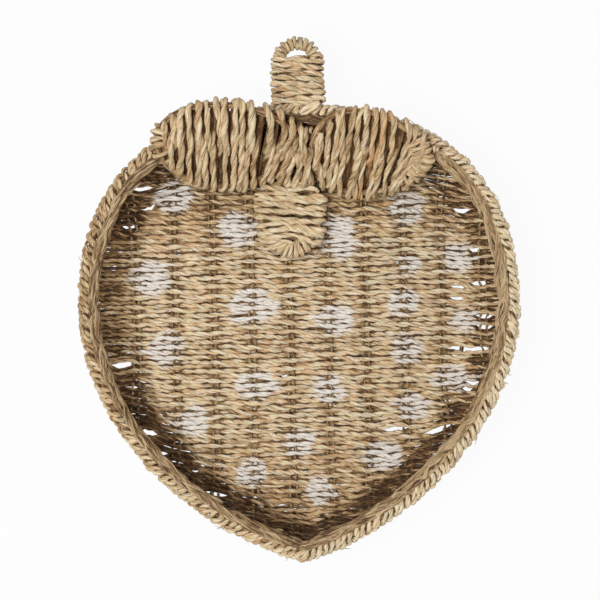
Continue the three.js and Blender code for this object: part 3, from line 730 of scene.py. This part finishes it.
# Warp pairs
WARP_STEP = 1.2
WARP_CORD = 2.2
WARP_LAY = 11
WARP_TONE = 0.36
for k in range(WARP_COUNT):
    cords = Cords()
    for side in (-1, 1):
        y = grid_y
        x = np.full_like(y, WARP_FIRST_X + WARP_PITCH * k + side * WARP_PAIR / 2)
        z = sheet_height(x, y)
        keep = np.flatnonzero(z < ROW_END_Z)
        path = resample(np.stack([x, y, z], 1)[keep[0]:keep[-1] + 1], WARP_STEP)
        normal = sheet_normal(path[:, 0], path[:, 1])
        level = travel_at(path[:, 0], path[:, 1])
        swing = -WARP_SWING * np.cos(math.pi * (level / ROW_PITCH + k))
        path = path + normal * swing[:, None]
        path[:, 0] += wander(len(path) * WARP_STEP, 30, len(path), 0.3)
        cords.cord(path, normal, WARP_CORD, WARP_LAY, 6, WARP_TONE + rng.normal(0, 0.1))
    cords.piece(f"warp_pair_{k + 1}", WARP, "seagrass_warp", f"warp_{k + 1}")


# Rim winding: three cords side by side round the hoop, over a core of folded row ends that is coloured dark
# as painted shade
def by_rim(share, spot, face):
    """Points and directions at shares of the way round, from places out of and up from the hoop."""
    out = on_ring(rim_out, share)
    point = np.column_stack([on_ring(rim_line, share) + out * spot[:, :1], HOOP_Z + spot[:, 1]])
    return point, np.column_stack([out * face[:, :1], face[:, 1]])


def rim_place(share, reach, angle):
    """A point round the rim hoop; the angle is 0 outward and a quarter turn on top."""
    way = np.stack([np.cos(angle), np.sin(angle)], 1)
    return by_rim(share, way * reach[:, None], way)


RIM_CORD = 4.3
RIM_STARTS = 3
RIM_SPACING = 4.9
RIM_LAP = 0.004
RIM_LAY = 12
RIM_TONE = 0.76
RIM_TWIST = dict(share=0.6, loose=0.2, mottle=(9, 0.15), plies=0.1)
TURN_POINTS = 18
CORE_POINTS = 300
rim_turns = round(rim_length / (RIM_SPACING * RIM_STARTS))
for half in range(2):
    cords = Cords()
    for start in range(RIM_STARTS):
        n = int(rim_turns * TURN_POINTS / 2) + 4
        even = half / 2 + np.linspace(-RIM_LAP, 0.5 + RIM_LAP, n)
        share = even + wander(rim_length / 2, 9, n, 0.0009)
        angle = -TURN * rim_turns * even + TURN * start / RIM_STARTS
        reach = RIM_RADIUS - RIM_CORD / 2 + wander(rim_length / 2, 12, n, 0.35)
        path, way = rim_place(share, reach, angle)
        # Lighter towards the right of the rim and darker towards the left: painted light and shade
        tone = RIM_TONE + rng.normal(0, 0.03) + 0.28 * path[:, 0] / HOOP_HALF_WIDTH
        cords.cord(path, way, RIM_CORD, RIM_LAY, 8, tone, **RIM_TWIST)
    share = half / 2 + np.linspace(-RIM_LAP, 0.5 + RIM_LAP, CORE_POINTS)
    path, way = rim_place(share, np.zeros(CORE_POINTS), np.zeros(CORE_POINTS))
    # The core is coloured almost black: painted shade inside the winding, seen between its turns
    cords.strand(path, way, RIM_RADIUS - RIM_CORD + 0.7, 8, 0.1)
    cords.piece(f"rim_winding_{half + 1}", WINDING, "seagrass_winding", "rim_wrap")

# Band inside the rim: row ends laid along it, each over the one before
BAND = np.array([(-3.6, 3.6), (-8.0, 2.6), (-10.6, -1.0), (-12.6, -6.4)])


def band_place(share, across, proud):
    """A point on the band's curve from the rim down the wall, and the way it faces."""
    t = np.clip(across, 0, 1)[:, None]
    legs = np.diff(BAND, axis=0)
    way = unit(3 * (1 - t) ** 2 * legs[0] + 6 * (1 - t) * t * legs[1] + 3 * t ** 2 * legs[2])
    face = np.stack([way[:, 1], -way[:, 0]], 1)
    return by_rim(share, bezier(BAND, t) + face * proud[:, None], face)


BAND_STEP = 9.0
BAND_LENGTH = 72
BAND_CORD = 2.5
BAND_LAY = 26
BAND_TONE = 0.6
BAND_TWIST = dict(share=0.56, loose=0.18, mottle=(9, 0.21), plies=0.16)
band_count = 2 * round(rim_length / BAND_STEP / 2)
BAND_AT = [0, 0.08, 0.25, 0.36, 0.5, 0.64, 0.75, 0.92, 1]
BAND_DEPTH = [0.1, 0.5, 0.72, 0.55, 0.45, 0.42, 0.46, 0.45, 0.1]
quarters = np.interp(np.arange(RING) / RING, BAND_AT, BAND_DEPTH)
band_depth = quarters + wander(rim_length, 70, RING, 0.06)
for name, remainder, way in (("upper", 0, 1), ("lower", 1, -1)):
    cords = Cords()
    for k in range(remainder, band_count, 2):
        length = BAND_LENGTH + rng.normal(0, 8)
        n = int(length / 1.8)
        t = np.linspace(0, 1, n)
        share = k / band_count + way * t * length / rim_length + rng.normal(0, 0.002)
        deep = band_depth[np.mod((share * RING).astype(int), RING)].mean() + rng.normal(0, 0.06)
        across = deep * (0.05 + 0.95 * t) + wander(length, 15, n, 0.1)
        arc = np.sin(math.pi * np.clip(t * 0.96 + 0.02, 0, 1)) ** 0.5
        proud = -1.4 + 2.4 * arc + wander(length, 18, n, 0.25)
        for pair in (-1, 1):
            path, normal = band_place(share, across + pair * 0.05, proud + wander(length, 15, n, 0.5))
            # Lighter towards the right and darker towards the left: painted light and shade
            tone = BAND_TONE + rng.normal(0, 0.24) + 0.2 * path[:, 0] / HOOP_HALF_WIDTH
            # Darker at the top centre, under the stem and the leaves: painted shadow
            tone = tone - 0.5 * np.exp(-(path[:, 0] / 32) ** 2) * smooth(90, 110, path[:, 1])
            width = BAND_CORD + rng.normal(0, 0.25)
            cords.cord(path, normal, width, BAND_LAY, 6, tone, **BAND_TWIST)
    cords.piece(f"edge_band_{name}", EDGE, "seagrass_edge", f"edge_strand_{name}")

# Leaves: oval wires with a dark core that is painted shade, a crossed winding, a fan at the tip and strands
# that cross over
LEFT_LEAF = {
    "half": 50, "width": 26.2, "x": -49, "y": 113.2, "turn": -0.5, "taper": -0.16, "loops": 15,
    "core": (-46, 42), "ends": (-45, 44), "lean": (2, 32), "tone": 0.62, "cord": 5.5,
    "fan": (-1, 0.42, 5, 1.2, 28), "fan_tone": 0.55,
    "crossings": [((-15, 86), (-4, 112)), ((-9, 86), (1, 117)), ((-2, 87), (6, 113)), ((5, 89), (1, 110))],
}
RIGHT_LEAF = {
    "half": 41.5, "width": 26.2, "x": 53, "y": 104.6, "turn": -10, "taper": -0.22, "loops": 14,
    "core": (-38, 33), "ends": (-39, 34), "lean": (-3, 30), "tone": 0.63, "cord": 5.1,
    "fan": (1, 0.8, 11, 2.6, 26), "fan_tone": 0.6,
    "crossings": [((5, 86), (10, 108)), ((12, 87), (4, 121)), ((20, 84), (15, 116))],
}
LEAF_LEAN = 15
FAN_CORD = 4.6
LEAF_TOP = 57.5
LEAF_LOW = 15.9
LEAF_CORD = 5.5
LEAF_LIFT = 3.8
LEAF_LAY = 30.0
LEAF_TWIST = dict(share=0.62, loose=0.18, mottle=(14, 0.1), plies=0.06)
SLEEVE = 2.3


def rim_distance(x, y):
    """Signed distance in plan from the hoop, outside positive, and the way out."""
    p = np.stack([x, y], 1)
    gap = np.linalg.norm(p[:, None] - rim_line[None], axis=2)
    near = gap.argmin(1)
    out = rim_out[near]
    far = np.sum((p - rim_line[near]) * out, 1)
    return far, out


def leaf_width(leaf, x):
    """Half the width the winding spans; a square oval keeps its width up to its hidden end."""
    u = np.clip(x / leaf["half"], -1, 1)
    power = np.where(u < 0, leaf.get("square", 2), 2)
    return leaf["width"] * (1 - np.abs(u) ** power) ** (1 / power) * (1 + leaf["taper"] * u)


def oval_edge(oval, angle):
    """Points of an oval's wire, from the tip on its +x side."""
    wide = oval["width"] * np.sin(angle) * (1 + oval["taper"] * np.cos(angle))
    return np.stack([oval["half"] * np.cos(angle), wide], 1)


def leaf_world(leaf, x, across):
    turn = math.radians(leaf["turn"])
    wx = leaf["x"] + x * math.cos(turn) - across * math.sin(turn)
    wy = leaf["y"] + x * math.sin(turn) + across * math.cos(turn)
    return wx, wy


def leaf_slope(leaf):
    """Slope from the rim to the bed, and where it starts."""
    edge = oval_edge(leaf, np.linspace(0, TURN, 48, endpoint=False))
    lowest = rim_distance(*leaf_world(leaf, edge[:, 0], edge[:, 1]))[0].min()
    slope = math.radians(40)
    for _ in range(8):
        hip = -(LEAF_TOP - HOOP_Z) * math.tan(slope / 2)
        slope = math.atan2(LEAF_TOP - LEAF_LOW, hip - lowest)
    return slope, hip


def leaf_point(leaf, x, across, lift):
    """A point over the leaf's middle surface, level on the rim and sloping down to the bed."""
    slope, hip = leaf["slope"]
    wx, wy = leaf_world(leaf, x, across)
    far, out = rim_distance(wx, wy)
    fall = (hip - far) * math.tan(slope)
    z = LEAF_TOP - 0.5 * (fall + np.sqrt(fall * fall + 30)) + 1.0
    tilt = slope * smooth(-5, 5, hip - far)
    normal = np.stack([-out[:, 0] * np.sin(tilt), -out[:, 1] * np.sin(tilt), np.cos(tilt)], 1)
    return np.stack([wx, wy, z], 1) + normal * lift[:, None], normal


def flat_loop(steps, reach, lift):
    """Places round a flat frame: over the front, round one edge, back behind, round the other edge."""
    half = 2 * reach + math.pi * lift
    at = np.linspace(0, 2 * half, steps, endpoint=False)
    side = np.where(at < half, 1, -1)
    s = np.where(at < half, at, at - half)
    turned = np.clip((s - 2 * reach) / lift, 0, math.pi)
    across = np.minimum(s, 2 * reach) - reach + lift * np.sin(turned)
    return side * across, side * lift * np.cos(turned)


def crossed_loop(steps, low, high, lift):
    """Places of one turn that crosses between the two sides of a frame.

    It comes down the front from the upper side, dives through the middle, goes round the lower side from
    behind, up its front, and through the middle again.
    """
    straight = low + high
    bend = math.pi * lift
    at = np.linspace(0, 2 * (straight + bend), steps, endpoint=False)
    back = at >= straight + bend
    s = np.where(back, at - straight - bend, at)
    dive = np.cos(math.pi * np.clip(s / straight, 0, 1) ** 1.35)
    dive = np.sign(dive) * np.abs(dive) ** 0.55
    turned = np.clip((s - straight) / lift, 0, math.pi)
    around = s > straight
    across = np.where(around, -low - lift * np.sin(turned), high - s)
    across_back = np.where(around, high + lift * np.sin(turned), s - low)
    up = np.where(around, -lift * np.cos(turned), lift * dive)
    return np.where(back, across_back, across), up


def soften(path, rounds):
    for _ in range(rounds):
        inner = (path[:-2] + 2 * path[1:-1] + path[2:]) / 4
        path = np.concatenate([path[:1], inner, path[-1:]])
    return path


def oval_loops(oval, ends, lean, bow=0):
    """Crossed turns along an oval frame as (along, across, up).

    Lean moves their upper ends along it; bow moves both ends towards the tip, the more the nearer to it.
    """
    paths = []
    pitch = (ends[1] - ends[0]) / oval["loops"]
    stray = rng.normal(0, 0.2 * pitch, oval["loops"] + 1)
    for k in range(oval["loops"]):
        x0 = ends[0] + pitch * k
        over = lean(x0) + rng.normal(0, 0.7)
        low, high = leaf_width(oval, np.array([x0, min(x0 + over, oval["half"] - 2)]))
        steps = max(24, int((2 * low + 2 * high + TURN * LEAF_LIFT) / 2.2))
        across, up = crossed_loop(steps, low, high, LEAF_LIFT)
        share = np.arange(steps) / steps
        top = np.clip((across + low) / max(low + high, 1), 0, 1)
        x = x0 + pitch * share + over * top + stray[k] * (1 - share) + stray[k + 1] * share
        x = x + rng.normal(0, 1.0) * np.sin(TURN * share) + rng.normal(0, 0.7) * np.sin(2 * TURN * share)
        x = x + bow * float(smooth(-10, ends[1], x0)) * (2 * top - 1) ** 2
        paths.append(np.stack([x, across, up * (1 + rng.normal(0, 0.07))], 1))
    return np.concatenate(paths)


def oval_fan(oval, end, span, count, reach, depth):
    """Short loops that fan round one tip of an oval frame, towards a point on its axis at a depth."""
    paths = []
    middle = 0 if end > 0 else math.pi
    aim = np.array([end * (oval["half"] - depth), 0.0])
    steps = 24
    for k in range(count):
        share = (k + np.arange(steps) / steps) / count
        angle = middle + span * (2 * share - 1) * end
        edge = oval_edge(oval, angle)
        inward = unit(aim - edge)
        along, up = flat_loop(steps, reach, LEAF_LIFT)
        spot = edge + inward * (along + reach)[:, None]
        paths.append(np.stack([spot[:, 0], spot[:, 1], up], 1))
    return np.concatenate(paths)


def on_leaf(leaf, local):
    return leaf_point(leaf, local[:, 0], local[:, 1], local[:, 2])[0]


def lay_winding(cords, place, local, tone, width=LEAF_CORD, lay=LEAF_LAY, paint=None):
    """One cord along a run given as (along, across, up) and put in place; it is darker behind, as painted
    shade.
    """
    local = resample(soften(local, 2), 2.0)
    n = len(local)
    local = local + np.stack([wander(2.0 * n, 9, n, 0.3) for _ in range(3)], 1)
    path = place(local)
    # Turns behind the frame are darkened: painted shade seen through the gaps
    tone = tone - 0.55 * smooth(0.5, -2, local[:, 2]) + wander(2.0 * n, 30, n, 0.06)
    width = width * (1 + wander(2.0 * n, 40, n, 0.08))
    cords.cord(path, carried(path), width, lay, 8, tone, paint, **LEAF_TWIST)


def lay_shade_core(cords, place, oval, ends, lean):
    """Dark strands inside a frame, from side to side, seen only in the gaps of the winding: painted shade
    behind it.
    """
    count = 2 * oval["loops"]
    for x0 in np.linspace(ends[0], ends[1], count):
        x1 = min(x0 + lean(x0), oval["half"] - 2)
        low, high = leaf_width(oval, np.array([x0, x1]))
        t = np.linspace(0, 1, 14)
        local = np.stack([x0 + (x1 - x0) * t, -low + (low + high) * t, np.full(14, -1.2)], 1)
        path = place(local)
        cords.strand(path, carried(path), 1.6, 6, 0.0)


def lay_sleeve(cords, path):
    """Grass laid along a wire, under the winding."""
    cords.strand(path, carried(path), SLEEVE, 8, 0.22)


def oval_ring(oval):
    """The wire of an oval frame, all the way round, as (along, across, up)."""
    edge = oval_edge(oval, np.linspace(0, TURN, 120))
    return np.concatenate([edge, np.zeros((120, 1))], 1)


def rusty(points):
    """A few orange strands past the middle of the right leaf."""
    line = points[..., 0] - 0.4 * (points[..., 1] - 105)
    return 0.5 * np.exp(-((line - 57) / 3.0) ** 2)


def lay_crossing(cords, place, leaf, low_end, high_end):
    """A strand over the place where the leaves meet, between two points in plan."""
    turn = math.radians(leaf["turn"])
    t = np.linspace(-0.12, 1.12, 30)
    wx = low_end[0] + (high_end[0] - low_end[0]) * t - leaf["x"]
    wy = low_end[1] + (high_end[1] - low_end[1]) * t - leaf["y"]
    x = wx * math.cos(turn) + wy * math.sin(turn)
    across = wy * math.cos(turn) - wx * math.sin(turn)
    up = LEAF_LIFT + 1.6 - 9 * (smooth(0.9, 1.12, t) + smooth(0.1, -0.12, t))
    lay_winding(cords, place, np.stack([x, across, up], 1), 0.58)


def wind_leaf(side, leaf, paint=None):
    """All the grass of one leaf; only the long winding is painted."""
    def place(local):
        return on_leaf(leaf, local)

    def lean(x):
        return leaf["lean"][0] + LEAF_LEAN * float(smooth(4, leaf["lean"][1], x))

    leaf["slope"] = leaf_slope(leaf)
    cords = Cords()
    lay_sleeve(cords, place(oval_ring(leaf)))
    lay_shade_core(cords, place, leaf, leaf["core"], lean)
    turns = oval_loops(leaf, leaf["ends"], lean)
    lay_winding(cords, place, turns, leaf["tone"], leaf["cord"], paint=paint)
    lay_winding(cords, place, oval_fan(leaf, *leaf["fan"]), leaf["fan_tone"], FAN_CORD)
    for ends in leaf["crossings"]:
        lay_crossing(cords, place, leaf, *ends)
    cords.piece(f"{side}_leaf_winding", WINDING, "seagrass_winding", f"{side}_leaf_wrap")


wind_leaf("left", LEFT_LEAF)
wind_leaf("right", RIGHT_LEAF, rusty)

# Sepal on the bed
SEPAL = {
    "half": 26.5, "width": 22, "x": -5.5, "y": 62, "taper": -0.15, "loops": 10, "square": 4,
    "ends": (-25, 19), "lean": 0.6, "bow": 8, "fan": (1, 1.2, 12, 1.5, 15),
}
SEPAL_Z = 15.8
SEPAL_RISE = 0.017


def on_sepal(local):
    """The sepal's axis runs down the tray, its upper end a little raised under the leaves."""
    y = SEPAL["y"] - local[:, 0]
    return np.stack([SEPAL["x"] + local[:, 1], y, SEPAL_Z + local[:, 2] - SEPAL_RISE * local[:, 0]], 1)


cords = Cords()
lay_sleeve(cords, on_sepal(oval_ring(SEPAL)))
turns = oval_loops(SEPAL, SEPAL["ends"], lambda x: SEPAL["lean"], SEPAL["bow"])
lay_winding(cords, on_sepal, turns, tone=0.76, width=4.6, lay=22)
lay_winding(cords, on_sepal, oval_fan(SEPAL, *SEPAL["fan"]), tone=0.74, width=4.2, lay=20)
cords.piece("sepal_winding", WINDING, "seagrass_winding", "sepal_wrap")

# Stem and its hanging eye
STEM_X = 2.6
STEM_LEG_X = 13.47
ARCH_Y = 172.13
STEM_FROM = 140.6
STEM_TO = 176.0
STEM_LOOPS = 8
STEM_SIDE = 15.0
STEM_LIFT = 3.4
STEM_CORD = 4.6
STEM_STEPS = 44


def on_stem(local):
    """The stem's axis runs up from the rim, and its lowest turns lie over the rim."""
    y = STEM_FROM + local[:, 0]
    rise = 3.0 * smooth(145, 140, y) * smooth(-2, 2, local[:, 2])
    return np.stack([STEM_X + local[:, 1], y, HOOP_Z + local[:, 2] + rise], 1)


def arch_place(out, angle, up):
    """A point of the stem's arch, at a distance from its middle and a height over the hoop."""
    return np.stack([STEM_X + out * np.cos(angle), ARCH_Y + out * np.sin(angle), HOOP_Z + up], 1)


turns = []
for k in range(STEM_LOOPS):
    across, up = crossed_loop(STEM_STEPS, STEM_SIDE, STEM_SIDE, STEM_LIFT)
    share = np.arange(STEM_STEPS) / STEM_STEPS
    along = (STEM_TO - STEM_FROM) / STEM_LOOPS * (k + share) + rng.normal(0, 0.5) * np.sin(TURN * share)
    turns.append(np.stack([along, across, up], 1))
cords = Cords()
lay_winding(cords, on_stem, np.concatenate(turns), tone=0.72, width=STEM_CORD, lay=22)
# Dark strands inside the stem's frame, seen in the gaps of its winding: painted shade
for y in np.arange(STEM_FROM + 3, STEM_TO, 2.2):
    across = np.linspace(-STEM_LEG_X, STEM_LEG_X, 8)
    path = np.stack([STEM_X + across, np.full(8, y), np.full(8, HOOP_Z - 1.0)], 1)
    cords.strand(path, carried(path), 1.3, 6, 0.04)
t = np.linspace(0, 1, 14)[:, None]
blade = np.array([4.0, 133.0, 51.5]) * (1 - t) + np.array([18.0, 141.0, 52.0]) * t
blade[:, 2] += 1.2 * np.sin(math.pi * t[:, 0])
cords.strand(blade, upward(14), 3.2, 8, 0.8, taper=3, flat=0.22)
cords.piece("stem_winding", WINDING, "seagrass_winding", "stem_wrap")

EYE_TURNS = 11
EYE_CORD = 3.9
n = EYE_TURNS * 20
turned = np.linspace(0, 1, n)
arch = math.radians(178) - math.radians(176) * turned
angle = TURN * EYE_TURNS * turned
reach = TRIM_WIRE / 2 + EYE_CORD / 2
path = resample(arch_place(STEM_LEG_X + reach * np.cos(angle), arch, reach * np.sin(angle)), 1.2)
cords = Cords()
cords.cord(path, carried(path), EYE_CORD, 14, 6, 0.68, share=0.64, loose=0.14)
lay_sleeve(cords, arch_place(STEM_LEG_X, arch, 0 * arch)[::4])
cords.piece("eye_winding", WINDING, "seagrass_winding", "eye_wrap")

# Loose ends of grass that stand off the rim
STRAYS = 16
STRAYS_SEEN = [0.269, 0.345, 0.13]
cords = Cords()
for place in np.concatenate([STRAYS_SEEN, rng.uniform(0, 1, STRAYS - len(STRAYS_SEEN))]):
    length = rng.uniform(4, 7)
    t = np.linspace(0, 1, 8)
    lead = rng.normal(0, 0.6)
    curl = rng.normal(0, 0.5)
    lift = rng.uniform(-0.3, 1.0)
    share = place + (lead * t + curl * t * t) * length / rim_length
    reach = RIM_RADIUS - 1.0 + t * length * rng.uniform(0.3, 0.8)
    path, way = rim_place(share, reach, np.full(8, lift))
    size = np.linspace(0.45, 0.12, 8)
    cords.strand(path, upward(8), size, 5, rng.uniform(0.2, 0.7), taper=1)
cords.piece("stray_ends", WINDING, "seagrass_winding")

# Grass in the corner between the bed and the base wire, coloured dark as painted shade in the corner
CORNER_RADIUS = 1.4
corner = np.concatenate([base_line, base_line[:4]])[::2]
corner = level_ring(corner, BASE_Z + BASE_WIRE / 2 + CORNER_RADIUS)
cords = Cords()
cords.strand(corner, upward(len(corner)), CORNER_RADIUS, 6, FILLER_SHADE_TONE)
cords.piece("corner_strand", WEFT, "seagrass_weft", "weft_bed")


# Wires, round and smooth, on the frame's own lines
def wire(name, path, diameter, closed, *nodes):
    sides = 12
    first, second = frames(path, carried(path), closed)
    ring = ring_points(first, second, TURN * np.arange(sides) / sides)
    points = (path[:, None] + ring * diameter / 2).reshape(-1, 3)
    index = np.arange(len(path) * sides).reshape(-1, sides)
    a = index if closed else index[:-1]
    b = np.roll(index, -1, 0) if closed else index[1:]
    quads = ring_faces(a, b).tolist()
    if not closed:
        quads += [index[0][::-1].tolist(), index[-1].tolist()]
    add_mesh(name, points, quads, STEEL, nodes)


UPRIGHT_FOOT = 3.2
UPRIGHT_HEAD = 3.7
rim_ring = level_ring(rim_line, HOOP_Z)
base_ring = level_ring(base_line, BASE_Z)
wire("rim_wire", rim_ring[::2], HOOP_WIRE, True, "rim_hoop")
wire("base_wire", base_ring[::2], BASE_WIRE, True, "base_hoop")
for k in range(UPRIGHTS):
    spot = round((k + 0.5) * RING / UPRIGHTS)
    foot = base_ring[spot]
    head = rim_ring[spot]
    way = unit(head - foot)
    run = np.linspace(foot + way * UPRIGHT_FOOT, head - way * UPRIGHT_HEAD, 6)
    wire(f"upright_wire_{k + 1}", run, UPRIGHT_WIRE, False, f"upright_{k + 1}")

for side, leaf in (("left", LEFT_LEAF), ("right", RIGHT_LEAF)):
    wire(f"{side}_leaf_wire", on_leaf(leaf, oval_ring(leaf)[:-1]), TRIM_WIRE, True, f"{side}_leaf_frame")
wire("sepal_wire", on_sepal(oval_ring(SEPAL)[:-1]), TRIM_WIRE, True, "sepal_frame")
bow = np.linspace(math.pi, 0, 40)
leg_y = HOOP_TOP_Y + HOOP_WIRE / 2 + 0.3
legs = [[[STEM_X + side * STEM_LEG_X, leg_y, HOOP_Z]] for side in (-1, 1)]
path = np.concatenate([legs[0], arch_place(STEM_LEG_X, bow, 0 * bow), legs[1]])
wire("stem_wire", path, TRIM_WIRE, False, "stem_frame")

# Floor, light and camera
FLOOR_HALF = 6.0
FLOOR_GREY = (0.8, 0.8, 0.8, 1)
FLOOR_GLOW = 0.93
AMBIENT = 0.34
floor = bpy.data.objects.new("floor", bpy.data.meshes.new("floor"))
corners = [(x * FLOOR_HALF, y * FLOOR_HALF, 0) for x, y in ((-1, -1), (1, -1), (1, 1), (-1, 1))]
floor.data.from_pydata(corners, [], [(0, 1, 2, 3)])
scene.collection.objects.link(floor)
g = Graph(bpy.data.materials.new("floor_white"))
rays = g.node("ShaderNodeLightPath")
seen = g.math("MAXIMUM", rays.outputs["Is Camera Ray"], rays.outputs["Is Glossy Ray"])
seen = g.math("MAXIMUM", seen, rays.outputs["Is Transmission Ray"])
matt = g.node("ShaderNodeBsdfDiffuse", {"Color": FLOOR_GREY})
glow = g.node("ShaderNodeEmission", {"Color": WHITE})
floor.data.materials.append(g.surface(g.blend(g.math("MULTIPLY", seen, FLOOR_GLOW), matt, glow)))

g = Graph(bpy.data.worlds.new("studio"))
scene.world = g.owner
ambient = g.node("ShaderNodeBackground", {"Color": WHITE, "Strength": AMBIENT})
white = g.node("ShaderNodeBackground", {"Color": WHITE})
rays = g.node("ShaderNodeLightPath")
g.surface(g.blend(rays.outputs["Is Camera Ray"], ambient, white), "World")


def lamp(name, place, size, power):
    data = bpy.data.lights.new(name, "AREA")
    data.shape = "DISK"
    data.size = size
    data.energy = power
    made = bpy.data.objects.new(name, data)
    made.location = place
    aim = -made.location
    made.rotation_euler = aim.to_track_quat("-Z", "Y").to_euler()
    scene.collection.objects.link(made)


lamp("key", (-0.45, -0.12, 1.25), size=0.8, power=12.6)
lamp("fill", (1.0, 0.2, 0.5), size=0.6, power=1.6)

CAMERA_HEIGHT = 0.83
CAMERA_TURN = math.radians(-1.3)
SEEN_AT_RIM = 0.4344
SENSOR = 36
camera_data = bpy.data.cameras.new("camera")
camera = bpy.data.objects.new("camera", camera_data)
camera_data.sensor_width = SENSOR
camera_data.lens = SENSOR / 2 / (SEEN_AT_RIM / 2 / (CAMERA_HEIGHT - HOOP_Z * MM))
camera_data.clip_end = 50
camera.location = (0.0007, -0.0004, CAMERA_HEIGHT)
camera.rotation_euler = (0, 0, CAMERA_TURN)
scene.collection.objects.link(camera)
scene.camera = camera
scene.view_settings.view_transform = "Standard"
